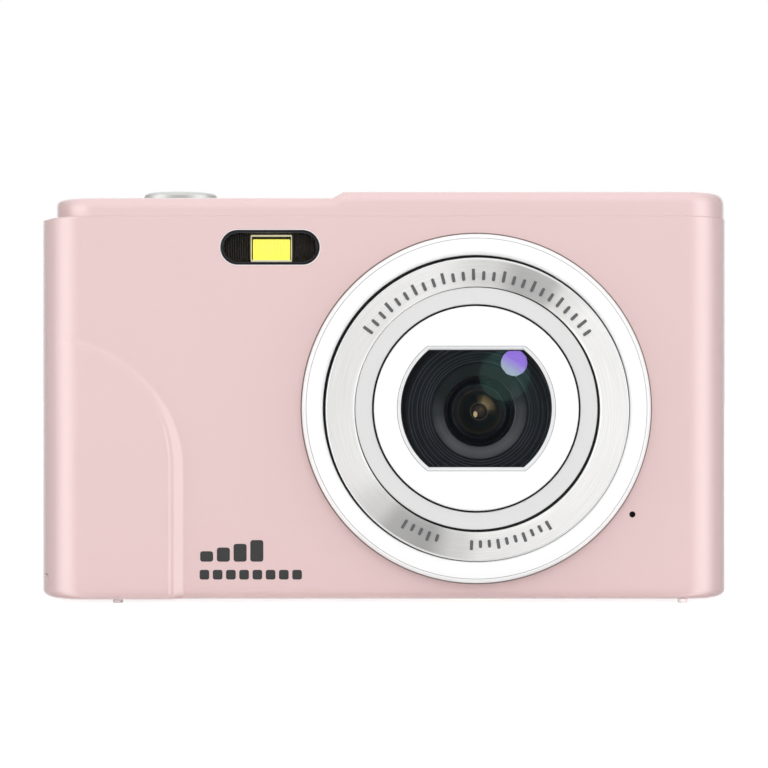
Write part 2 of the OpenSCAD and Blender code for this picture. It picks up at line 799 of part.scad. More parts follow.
// Slider in the door: a finger plate below and a tongue above that reaches over the rear cover's floor
module door_latch() {
    color("silver") {
        block([latch_x - 3.5, latch_y - 1.8, base_z + 0.1], [latch_x + 3.5, latch_y + 1.8, base_z + 0.55]);
        block([latch_x - 2, latch_y - 1.1, base_z + 0.5], [latch_x + 2, latch_y + 1.1, floor_z + 0.2]);
        block([latch_x - 3, latch_y - 1.1, floor_z + 0.1], [latch_x + 3, 6.4, floor_z + 0.8]);
    }
}

// Cover over the USB port: a piece of the side wall that turns about its rear edge
module usb_cover() {
    h = usb_z[1] - usb_z[0];
    color(pink) difference() {
        union() {
            translate([0, 0, usb_z[0]]) linear_extrude(h) intersection() {
                difference() {
                    plan();
                    plan(wall);
                }
                translate([40, usb_y[0]]) square([10, usb_y[1] - usb_y[0]]);
            }
            translate([usb_axis[0], usb_axis[1], usb_z[0]]) cylinder(h = h, r = usb_barrel_r);
        }
        translate([usb_axis[0], usb_axis[1], 0]) cylinder(h = 60, r = usb_pin_r + snug);
    }
}

front_cover();
rear_cover();
top_cover();
lens_bezel();
dress_ring();
trim_ring();
lens_cap();
lens_window();
lens_baffle();
lens_barrel();
front_element();
retainer_ring();
aperture_plate();
rear_element();
ir_filter();
image_sensor();
sensor_board();
flash_window();
flash_reflector();
flash_lamp();
flash_board();
microphone();
speaker();
chassis();
main_board();
board_parts();
display_panel();
display_window();
key_board();
key_domes();
battery_bay();
battery();
battery_contacts();
card_socket();
memory_card();
tripod_socket();
usb_port();
strap_bar();
feet();
case_screws();
status_lamp();
top_switches();
shutter_spring();
hinge_pins();
shutter_button();
power_button();
zoom_rocker();
play_button();
menu_button();
delete_button();
mode_button();
up_key();
down_key();
right_key();
left_key();
ok_key();
battery_door();
door_latch();
usb_cover();
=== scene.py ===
"""Looks of the compact camera: case shells, lens rings, flash, buttons, rear keys and the studio.

Lengths are millimetres until a mesh is finished. +X is to the viewer's right when the lens faces the
viewer, the lens faces -Y and +Z is up.
"""
from __future__ import annotations

import logging
import math
from collections.abc import Callable, Iterable, Sequence
from dataclasses import dataclass, field
from enum import Enum

import bmesh
import bpy
from mathutils import Matrix, Vector


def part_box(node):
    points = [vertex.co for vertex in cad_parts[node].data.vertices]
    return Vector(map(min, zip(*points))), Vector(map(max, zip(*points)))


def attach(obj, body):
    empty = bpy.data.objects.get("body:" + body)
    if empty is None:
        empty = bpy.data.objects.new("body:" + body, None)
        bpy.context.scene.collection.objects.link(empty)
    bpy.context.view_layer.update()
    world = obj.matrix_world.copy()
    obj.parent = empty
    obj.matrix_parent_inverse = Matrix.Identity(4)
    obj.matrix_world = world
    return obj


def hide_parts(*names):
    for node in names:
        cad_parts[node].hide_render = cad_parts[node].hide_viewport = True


LOG = logging.getLogger("camera")
MM = 0.001
Pair = tuple[float, float]
Colour = tuple[float, float, float]

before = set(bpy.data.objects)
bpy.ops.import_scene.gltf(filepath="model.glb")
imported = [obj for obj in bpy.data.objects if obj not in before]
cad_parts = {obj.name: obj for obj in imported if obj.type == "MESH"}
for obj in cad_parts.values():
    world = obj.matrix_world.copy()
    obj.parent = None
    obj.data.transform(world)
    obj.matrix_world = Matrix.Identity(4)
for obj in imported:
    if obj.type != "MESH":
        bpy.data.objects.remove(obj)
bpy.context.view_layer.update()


class Side(Enum):
    """Which half of the case a surface belongs to, as the sign of Y."""

    FRONT = -1
    REAR = 1


class Cut(Enum):
    """What a cutter does to the shape it meets."""

    REMOVE = "DIFFERENCE"
    KEEP = "INTERSECT"


@dataclass(frozen=True)
class Room:
    """The space of a CAD node, in millimetres."""

    low: Vector
    high: Vector

    @classmethod
    def of(cls, node: str) -> Room:
        """Measure a CAD node at rest."""
        low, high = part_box(node)
        return cls(low / MM, high / MM)

    @property
    def centre(self) -> Vector:
        """Middle of the space."""
        return (self.low + self.high) / 2

    @property
    def size(self) -> Vector:
        """Lengths of the space along X, Y and Z."""
        return self.high - self.low


def room_field(node: str) -> Room:
    """A dataclass field that starts as the space of a CAD node."""
    return field(default_factory=lambda: Room.of(node))


def smooth(low: float, high: float, value: float) -> float:
    """Blend from 0 at low to 1 at high with soft ends."""
    t = min(1.0, max(0.0, (value - low) / (high - low)))
    return t * t * (3 - 2 * t)


def arc(centre: Pair, radius: float, start: float, end: float, steps: int) -> list[Pair]:
    """Points of an arc.

    Args:
        centre: Middle of the arc.
        radius: Radius of the arc.
        start: First angle in degrees.
        end: Last angle in degrees.
        steps: Number of stretches between points.

    Returns:
        The points in order, both ends included.
    """
    angles = (math.radians(start + (end - start) * i / steps) for i in range(steps + 1))
    return [(centre[0] + radius * math.cos(a), centre[1] + radius * math.sin(a)) for a in angles]


def rounded(centre: Pair, width: float, height: float, radius: float, steps: int = 6) -> list[Pair]:
    """Outline of a rectangle with round corners.

    Args:
        centre: Middle of the rectangle.
        width: Its whole width.
        height: Its whole height.
        radius: Radius of the corners.
        steps: Stretches in each corner.

    Returns:
        The points, anticlockwise.
    """
    x, z = width / 2 - radius, height / 2 - radius
    corners = ((x, z, 0), (-x, z, 90), (-x, -z, 180), (x, -z, 270))
    return [p for cx, cz, a in corners
            for p in arc((centre[0] + cx, centre[1] + cz), radius, a, a + 90, steps)]


def disc(centre: Pair, radius: float, steps: int = 48) -> list[Pair]:
    """Outline of a circle."""
    return arc(centre, radius, 0, 360 - 360 / steps, steps - 1)


class Form:
    """A mesh being shaped, in millimetres."""

    def __init__(self) -> None:
        """Start with nothing."""
        self.bm = bmesh.new()

    @classmethod
    def lathe(cls, profile: Sequence[Pair], steps: int = 128) -> Form:
        """Spin a profile about the Z axis, closed unless both its ends are on the axis.

        Args:
            profile: Points as (radius, height).
            steps: Number of stretches round the circle.

        Returns:
            The spun shape.
        """
        form = cls()
        verts = [form.bm.verts.new((r, 0, h)) for r, h in profile]
        pairs = list(zip(verts, verts[1:]))
        if profile[0][0] + profile[-1][0] > 0:
            pairs.append((verts[-1], verts[0]))
        edges = [form.bm.edges.new(pair) for pair in pairs]
        bmesh.ops.spin(form.bm, geom=verts + edges, cent=(0, 0, 0), axis=(0, 0, 1),
                       angle=math.tau, steps=steps, use_merge=True)
        return form.weld()

    @classmethod
    def plate(cls, outline: Sequence[Pair], front: float, back: float, edge: float = 0.0,
              segments: int = 3) -> Form:
        """Extrude an outline of (x, z) points along Y and round its front edge.

        Args:
            outline: Points of the outline.
            front: Y of the face that looks at the viewer.
            back: Y of the other face.
            edge: Radius of the rounding round the front face.
            segments: Segments of that rounding.

        Returns:
            The plate.
        """
        form = cls()
        face = form.bm.faces.new([form.bm.verts.new((x, front, z)) for x, z in outline])
        grown = bmesh.ops.extrude_face_region(form.bm, geom=[face], use_keep_orig=True)
        moved = [g for g in grown["geom"] if isinstance(g, bmesh.types.BMVert)]
        bmesh.ops.translate(form.bm, verts=moved, vec=(0, back - front, 0))
        if edge:
            rim = [e for e in form.bm.edges if all(abs(v.co.y - front) < 1e-6 for v in e.verts)]
            form.bevel(rim, edge, segments)
        return form.outward()

    @classmethod
    def side_plate(cls, outline: Sequence[Pair], near: float, far: float) -> Form:
        """Extrude an outline of (y, z) points along X."""
        swap = Matrix(((0, 1, 0, 0), (1, 0, 0, 0), (0, 0, 1, 0), (0, 0, 0, 1)))
        return cls.plate(outline, near, far).turn(swap)

    @classmethod
    def block(cls, low: Sequence[float], high: Sequence[float], edge: float = 0.0) -> Form:
        """A box between two corners.

        Args:
            low: Corner with the lowest X, Y and Z.
            high: Corner with the highest.
            edge: Radius of the edges.

        Returns:
            The box.
        """
        form = cls()
        middle = [(a + b) / 2 for a, b in zip(low, high)]
        size = [b - a for a, b in zip(low, high)]
        place = Matrix.Translation(middle) @ Matrix.Diagonal((*size, 1))
        bmesh.ops.create_cube(form.bm, size=1, matrix=place)
        if edge:
            form.bevel(form.bm.edges[:], edge, 2)
        return form

    @classmethod
    def rod(cls, start: Vector, end: Vector, radius: float, steps: int = 32) -> Form:
        """A rod between two points.

        Args:
            start: Middle of one end.
            end: Middle of the other end.
            radius: Radius of the rod.
            steps: Stretches round it.

        Returns:
            The closed rod.
        """
        form = cls()
        along = end - start
        turn = along.to_track_quat("Z", "Y").to_matrix().to_4x4()
        bmesh.ops.create_cone(form.bm, cap_ends=True, segments=steps, radius1=radius, radius2=radius,
                              depth=along.length, matrix=Matrix.Translation((start + end) / 2) @ turn)
        return form

    @classmethod
    def grid(cls, columns: int, rows: int, place: Callable[[int, int], Vector]) -> Form:
        """A sheet whose points are put in place by a rule.

        Args:
            columns: Number of points across.
            rows: Number of points up.
            place: Gives the position of the point in a column and a row.

        Returns:
            The open sheet, with its doubled points merged.
        """
        form = cls()
        bmesh.ops.create_grid(form.bm, x_segments=columns - 1, y_segments=rows - 1, size=0.5)
        for vert in form.bm.verts:
            i = round((vert.co.x + 0.5) * (columns - 1))
            j = round((vert.co.y + 0.5) * (rows - 1))
            vert.co = place(i, j)
        return form.weld()

    def weld(self, distance: float = 1e-5) -> Form:
        """Merge doubled points and turn every face outwards."""
        bmesh.ops.remove_doubles(self.bm, verts=self.bm.verts, dist=distance)
        return self.outward()

    def outward(self) -> Form:
        """Turn every face outwards."""
        bmesh.ops.recalc_face_normals(self.bm, faces=self.bm.faces)
        return self

    def bevel(self, edges: list[bmesh.types.BMEdge], width: float, segments: int) -> Form:
        """Round some edges."""
        bmesh.ops.bevel(self.bm, geom=edges, offset=width, segments=segments, profile=0.5,
                        affect="EDGES", clamp_overlap=True, material=-1)
        return self

    def cap(self) -> Form:
        """Close every open edge loop with flat faces."""
        open_edges = [e for e in self.bm.edges if e.is_boundary]
        bmesh.ops.holes_fill(self.bm, edges=open_edges, sides=0)
        return self.outward()

    def join(self, *others: Form) -> Form:
        """Add other shapes to this one.

        Args:
            *others: The shapes to add, used up here.

        Returns:
            This shape with the others in it.
        """
        for other in others:
            mesh = bpy.data.meshes.new("joined")
            other.bm.to_mesh(mesh)
            self.bm.from_mesh(mesh)
            bpy.data.meshes.remove(mesh)
            other.bm.free()
        return self

    def turn(self, matrix: Matrix) -> Form:
        """Move the whole shape by a matrix."""
        bmesh.ops.transform(self.bm, matrix=matrix, verts=self.bm.verts)
        return self.outward() if matrix.determinant() < 0 else self

    def carve(self, cutter: Form, cut: Cut = Cut.REMOVE) -> Form:
        """Cut this shape with another closed shape.

        Args:
            cutter: The cutting shape, used up by the cut.
            cut: Whether the overlap is removed or kept.

        Returns:
            This shape after the cut.
        """
        objects = []
        for form in (self, cutter):
            mesh = bpy.data.meshes.new("carving")
            form.bm.to_mesh(mesh)
            form.bm.free()
            objects.append(bpy.data.objects.new("carving", mesh))
            bpy.context.scene.collection.objects.link(objects[-1])
        modifier = objects[0].modifiers.new("carve", "BOOLEAN")
        modifier.operation = cut.value
        modifier.solver = "MANIFOLD"
        modifier.object = objects[1]
        shaped = bpy.data.meshes.new_from_object(
            objects[0].evaluated_get(bpy.context.evaluated_depsgraph_get()))
        self.bm = bmesh.new()
        self.bm.from_mesh(shaped)
        meshes = [shaped, *(o.data for o in objects)]
        for obj in objects:
            bpy.data.objects.remove(obj)
        for mesh in meshes:
            bpy.data.meshes.remove(mesh)
        return self

    def mark(self, index: int, chosen: Callable[[bmesh.types.BMFace], bool]) -> Form:
        """Give the chosen faces another material slot.

        Args:
            index: Number of the slot.
            chosen: Tells which faces to change.

        Returns:
            This shape.
        """
        for face in self.bm.faces:
            if chosen(face):
                face.material_index = index
        return self

    def placed(self, name: str, materials: Iterable[bpy.types.Material]) -> bpy.types.Object:
        """Turn the shape into an object of the scene, in metres.

        Args:
            name: Name of the object and its mesh.
            materials: Materials of its slots.

        Returns:
            The object.
        """
        bmesh.ops.scale(self.bm, vec=(MM, MM, MM), verts=self.bm.verts)
        mesh = bpy.data.meshes.new(name)
        self.bm.to_mesh(mesh)
        self.bm.free()
        for material in materials:
            mesh.materials.append(material)
        obj = bpy.data.objects.new(name, mesh)
        bpy.context.scene.collection.objects.link(obj)
        return obj

    def piece(self, name: str, finishes: Sequence[Finish], body: str, slot: str,
              replaces: Iterable[str] = (), angle: float = 32.0) -> bpy.types.Object:
        """Finish the shape as an object in metres that rides on a CAD body.

        Args:
            name: Name of the piece.
            finishes: One finish for each material slot.
            body: CAD body that carries the piece.
            slot: Material slot of the record; not used.
            replaces: CAD nodes that the piece stands for.
            angle: Edges sharper than this, in degrees, stay crisp.

        Returns:
            The finished object.
        """
        for face in self.bm.faces:
            face.smooth = True
        obj = self.placed(name, (finish.material() for finish in finishes))
        obj.data.set_sharp_from_angle(angle=math.radians(angle))
        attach(obj, body)
        nodes = tuple(replaces)
        if nodes:
            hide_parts(*nodes)
        LOG.info("%s: %d faces on %s, for %s", name, len(obj.data.polygons), body,
                 ", ".join(nodes) or "no node")
        return obj


# Shading


class Recipe:
    """Builds the nodes of one material or node group."""

    def __init__(self, tree: bpy.types.NodeTree) -> None:
        """Work on a node tree."""
        self.tree = tree

    def node(self, kind: str, **settings: object) -> bpy.types.Node:
        """Add a node and set its properties."""
        made = self.tree.nodes.new(kind)
        for key, value in settings.items():
            setattr(made, key, value)
        return made

    def feed(self, socket: bpy.types.NodeSocket, value: object) -> None:
        """Link a socket to another one, or set it to a constant.

        Args:
            socket: The input to fill.
            value: An output socket, a number or a colour.
        """
        if isinstance(value, bpy.types.NodeSocket):
            self.tree.links.new(value, socket)
        elif isinstance(value, tuple) and len(value) == 3 and len(socket.default_value) == 4:
            socket.default_value = (*value, 1.0)
        else:
            socket.default_value = value

    def math(self, kind: str, *values: object, clamp: bool = False) -> bpy.types.NodeSocket:
        """Combine numbers with one Math node."""
        made = self.node("ShaderNodeMath", operation=kind, use_clamp=clamp)
        for socket, value in zip(made.inputs, values):
            self.feed(socket, value)
        return made.outputs[0]

    def span(self, value: object, low: float, high: float, start: float, end: float) -> bpy.types.NodeSocket:
        """Map a number from one range to another, clamped."""
        made = self.node("ShaderNodeMapRange")
        for socket, given in zip(made.inputs, (value, low, high, start, end)):
            self.feed(socket, given)
        return made.outputs[0]

    def mix(self, amount: object, first: object, second: object) -> bpy.types.NodeSocket:
        """Blend two colours."""
        made = self.node("ShaderNodeMix", data_type="RGBA")
        self.feed(made.inputs[0], amount)
        self.feed(made.inputs[6], first)
        self.feed(made.inputs[7], second)
        return made.outputs[2]

    def ramp(self, value: object, stops: Sequence[tuple[float, Colour]], smooth_steps: bool = False
             ) -> bpy.types.NodeSocket:
        """Turn a number into a colour through a list of stops.

        Args:
            value: Number to look up.
            stops: Places from 0 to 1 with their colours.
            smooth_steps: Whether colours blend with soft ends.

        Returns:
            The colour.
        """
        made = self.node("ShaderNodeValToRGB")
        made.color_ramp.interpolation = "EASE" if smooth_steps else "LINEAR"
        elements = made.color_ramp.elements
        elements[0].position, elements[0].color = stops[0][0], (*stops[0][1], 1)
        elements[1].position, elements[1].color = stops[-1][0], (*stops[-1][1], 1)
        for position, colour in stops[1:-1]:
            elements.new(position).color = (*colour, 1)
        self.feed(made.inputs[0], value)
        return made.outputs[0]

    def noise(self, vector: object, scale: float, detail: float = 3.0) -> bpy.types.NodeSocket:
        """Noise whose features are about a thousand over scale millimetres across."""
        made = self.node("ShaderNodeTexNoise")
        self.feed(made.inputs["Vector"], vector)
        made.inputs["Scale"].default_value = scale
        made.inputs["Detail"].default_value = detail
        return made.outputs[0]

    def centred(self, centre: Vector | Sequence[float]) -> bpy.types.NodeSocket:
        """Object coordinates measured from a point given in millimetres."""
        coords = self.node("ShaderNodeTexCoord").outputs["Object"]
        mapping = self.node("ShaderNodeMapping")
        mapping.inputs["Location"].default_value = [-c * MM for c in centre]
        self.feed(mapping.inputs["Vector"], coords)
        return mapping.outputs[0]

    def group(self, tree: bpy.types.NodeTree, **values: object) -> bpy.types.Node:
        """Place a node group and fill its inputs by name."""
        made = self.node("ShaderNodeGroup", node_tree=tree)
        for key, value in values.items():
            self.feed(made.inputs[key], value)
        return made


def new_paint(name: str) -> tuple[bpy.types.Material, Recipe]:
    """Start a material with nodes, and a recipe for it."""
    paint = bpy.data.materials.new(name)
    paint.use_nodes = True
    return paint, Recipe(paint.node_tree)


def new_group(name: str, inputs: Sequence[tuple[str, str, float]], outputs: Sequence[tuple[str, str]]
              ) -> tuple[bpy.types.NodeTree, Recipe, bpy.types.Node, bpy.types.Node]:
    """Start a shader node group.

    Args:
        name: Name of the group.
        inputs: Names, socket kinds and first values of the inputs.
        outputs: Names and socket kinds of the outputs.

    Returns:
        The tree, a recipe for it, its input node and its output node.
    """
    tree = bpy.data.node_groups.new(name, "ShaderNodeTree")
    for label, kind, value in inputs:
        socket = tree.interface.new_socket(label, in_out="INPUT", socket_type=kind)
        if kind == "NodeSocketFloat":
            socket.default_value = value
    for label, kind in outputs:
        tree.interface.new_socket(label, in_out="OUTPUT", socket_type=kind)
    recipe = Recipe(tree)
    return tree, recipe, recipe.node("NodeGroupInput"), recipe.node("NodeGroupOutput")


def grain_group() -> bpy.types.NodeTree:
    """Moulding grain and slow mottling that most finishes share, built once."""
    if "surface_grain" in bpy.data.node_groups:
        return bpy.data.node_groups["surface_grain"]
    tree, recipe, entry, leave = new_group(
        "surface_grain",
        [("Vector", "NodeSocketVector", 0), ("Fine", "NodeSocketFloat", 4000),
         ("Broad", "NodeSocketFloat", 60)],
        [("Grain", "NodeSocketFloat"), ("Mottle", "NodeSocketFloat")])
    for source, target, detail in (("Fine", "Grain", 2.0), ("Broad", "Mottle", 3.0)):
        noise = recipe.node("ShaderNodeTexNoise")
        noise.inputs["Detail"].default_value = detail
        recipe.feed(noise.inputs["Vector"], entry.outputs["Vector"])
        recipe.feed(noise.inputs["Scale"], entry.outputs[source])
        recipe.feed(leave.inputs[target], noise.outputs[0])
    return tree


def radial_group() -> bpy.types.NodeTree:
    """Radius in millimetres and angle from 0 to 1 about the Y axis, built once."""
    if "radial_field" in bpy.data.node_groups:
        return bpy.data.node_groups["radial_field"]
    tree, recipe, entry, leave = new_group(
        "radial_field", [("Vector", "NodeSocketVector", 0)],
        [("Radius", "NodeSocketFloat"), ("Angle", "NodeSocketFloat")])
    parts = recipe.node("ShaderNodeSeparateXYZ")
    recipe.feed(parts.inputs[0], entry.outputs["Vector"])
    x, z = parts.outputs[0], parts.outputs[2]
    square = recipe.math("ADD", recipe.math("MULTIPLY", x, x), recipe.math("MULTIPLY", z, z))
    recipe.feed(leave.inputs["Radius"], recipe.math("MULTIPLY", recipe.math("SQRT", square), 1 / MM))
    turn = recipe.math("DIVIDE", recipe.math("ARCTAN2", z, x), math.tau)
    recipe.feed(leave.inputs["Angle"], recipe.math("FRACT", recipe.math("ADD", turn, 1.0)))
    return tree


@dataclass(frozen=True)
class Finish:
    """A material: its colour, gloss and fine surface."""

    name: str
    colour: Colour
    roughness: float = 0.4
    metallic: float = 0.0
    coat: float = 0.0
    coat_roughness: float = 0.05
    specular: float = 0.5
    ior: float = 1.5
    transmission: float = 0.0
    alpha: float = 1.0
    glow: float = 0.0
    fine: float = 4000.0
    broad: float = 60.0
    relief: float = 0.04
    depth: float = 0.02
    mottle: float = 0.03

    def material(self) -> bpy.types.Material:
        """Build the material the first time it is asked for."""
        label = f"finish_{self.name}"
        if label in bpy.data.materials:
            return bpy.data.materials[label]
        made, recipe = new_paint(label)
        shader = made.node_tree.nodes["Principled BSDF"]
        for socket, value in (("Metallic", self.metallic), ("IOR", self.ior), ("Alpha", self.alpha),
                              ("Specular IOR Level", self.specular), ("Coat Weight", self.coat),
                              ("Coat Roughness", self.coat_roughness),
                              ("Transmission Weight", self.transmission)):
            shader.inputs[socket].default_value = value
        if self.glow:
            shader.inputs["Emission Color"].default_value = (*self.colour, 1)
            shader.inputs["Emission Strength"].default_value = self.glow
        self.dress(recipe, shader)
        return made

    def dress(self, recipe: Recipe, shader: bpy.types.Node) -> None:
        """Feed the shader's colour, roughness and normal."""
        grain = recipe.group(grain_group(), Vector=recipe.centred((0, 0, 0)), Fine=self.fine,
                             Broad=self.broad)
        dark = tuple(c * (1 - self.mottle) for c in self.colour)
        light = tuple(min(1.0, c * (1 + self.mottle)) for c in self.colour)
        self.paint(recipe, shader, recipe.mix(grain.outputs["Mottle"], dark, light), grain.outputs["Grain"])

    def paint(self, recipe: Recipe, shader: bpy.types.Node, colour: bpy.types.NodeSocket,
              height: bpy.types.NodeSocket) -> None:
        """Connect a colour and a height, and vary the roughness with the height."""
        recipe.feed(shader.inputs["Base Color"], colour)
        rough = recipe.span(height, 0.3, 0.7, self.roughness * 0.9, min(1.0, self.roughness * 1.1))
        recipe.feed(shader.inputs["Roughness"], rough)
        bump = recipe.node("ShaderNodeBump")
        bump.inputs["Strength"].default_value = self.relief
        bump.inputs["Distance"].default_value = self.depth * MM
        recipe.feed(bump.inputs["Height"], height)
        recipe.feed(shader.inputs["Normal"], bump.outputs[0])


@dataclass(frozen=True)
class TurnedFinish(Finish):
    """Metal with fine lines turned round an axis, and light and dark lobes of painted reflection across them.
    """

    centre: Pair = (0.0, 0.0)
    reflection_fans: tuple[tuple[float, float], ...] = ((0.0, 1.0), (1.0, 1.0))
    line_pitch: float = 0.12
    line_depth: float = 0.12

    def dress(self, recipe: Recipe, shader: bpy.types.Node) -> None:
        """Paint reflection light and shade by angle, and cut the turned lines by radius."""
        vector = recipe.centred((self.centre[0], 0, self.centre[1]))
        radial = recipe.group(radial_group(), Vector=vector)
        # Painted reflection: lighter and darker lobes by angle round the axis stand in for the studio lights
        # mirrored in turned metal.
        stops = [(turn, (shade,) * 3) for turn, shade in self.reflection_fans]
        reflection_fan = recipe.ramp(radial.outputs["Angle"], stops, smooth_steps=True)
        line = recipe.node("ShaderNodeTexNoise", noise_dimensions="2D")
        line.inputs["Scale"].default_value = 1.0
        line.inputs["Detail"].default_value = 2.0
        place = recipe.node("ShaderNodeCombineXYZ")
        recipe.feed(place.inputs[0], recipe.math("DIVIDE", radial.outputs["Radius"], self.line_pitch))
        recipe.feed(place.inputs[1], recipe.math("MULTIPLY", radial.outputs["Angle"], 14.0))
        recipe.feed(line.inputs["Vector"], place.outputs[0])
        shade = recipe.mix(recipe.span(line.outputs[0], 0.35, 0.65, 0.0, self.line_depth), reflection_fan,
                           (0.25, 0.25, 0.25))
        tint = recipe.node("ShaderNodeMix", data_type="RGBA", blend_type="MULTIPLY")
        tint.inputs[0].default_value = 1.0
        recipe.feed(tint.inputs[6], shade)
        tint.inputs[7].default_value = (*self.colour, 1)
        self.paint(recipe, shader, tint.outputs[2], line.outputs[0])


@dataclass(frozen=True)
class ZonedFinish(Finish):
    """A round surface with painted reflections, highlights and shade: a colour for each radius, and a second
    set of colours towards one side.
    """

    centre: Pair = (0.0, 0.0)
    reach: float = 10.0
    zones: tuple[tuple[float, Colour], ...] = ((0.0, (0, 0, 0)), (1.0, (0, 0, 0)))
    painted_side_zones: tuple[tuple[float, Colour], ...] = ()
    painted_side_fans: tuple[tuple[float, float], ...] = ((0.0, 0.0), (1.0, 0.0))

    def dress(self, recipe: Recipe, shader: bpy.types.Node) -> None:
        """Pick the colour by radius, then blend in the second set by angle."""
        vector = recipe.centred((self.centre[0], 0, self.centre[1]))
        radial = recipe.group(radial_group(), Vector=vector)
        radius = recipe.math("DIVIDE", radial.outputs["Radius"], self.reach)
        colour = recipe.ramp(radius, [(r / self.reach, c) for r, c in self.zones])
        if self.painted_side_zones:
            second = recipe.ramp(radius, [(r / self.reach, c) for r, c in self.painted_side_zones])
            amount = recipe.ramp(radial.outputs["Angle"], [(a, (v,) * 3) for a, v in self.painted_side_fans], True)
            colour = recipe.mix(amount, colour, second)
        grain = recipe.group(grain_group(), Vector=vector, Fine=self.fine, Broad=self.broad)
        self.paint(recipe, shader, colour, grain.outputs["Grain"])


@dataclass(frozen=True)
class RibbedFinish(Finish):
    """A surface with fine upright ribs."""

    pitch: float = 0.35
    dark: Colour = (0.0, 0.0, 0.0)

    def dress(self, recipe: Recipe, shader: bpy.types.Node) -> None:
        """Shade and raise the ribs along X, with some sparkle between them."""
        vector = recipe.centred((0, 0, 0))
        parts = recipe.node("ShaderNodeSeparateXYZ")
        recipe.feed(parts.inputs[0], vector)
        wave = recipe.math("SINE", recipe.math("MULTIPLY", parts.outputs[0], math.tau / (self.pitch * MM)))
        rib = recipe.span(wave, -1.0, 1.0, 0.0, 1.0)
        speck = recipe.span(recipe.noise(vector, 3500.0, 4.0), 0.42, 0.66, 0.0, 1.0)
        amount = recipe.math("MULTIPLY", rib, recipe.math("ADD", recipe.math("MULTIPLY", speck, 0.6), 0.4))
        self.paint(recipe, shader, recipe.mix(amount, self.dark, self.colour), rib)


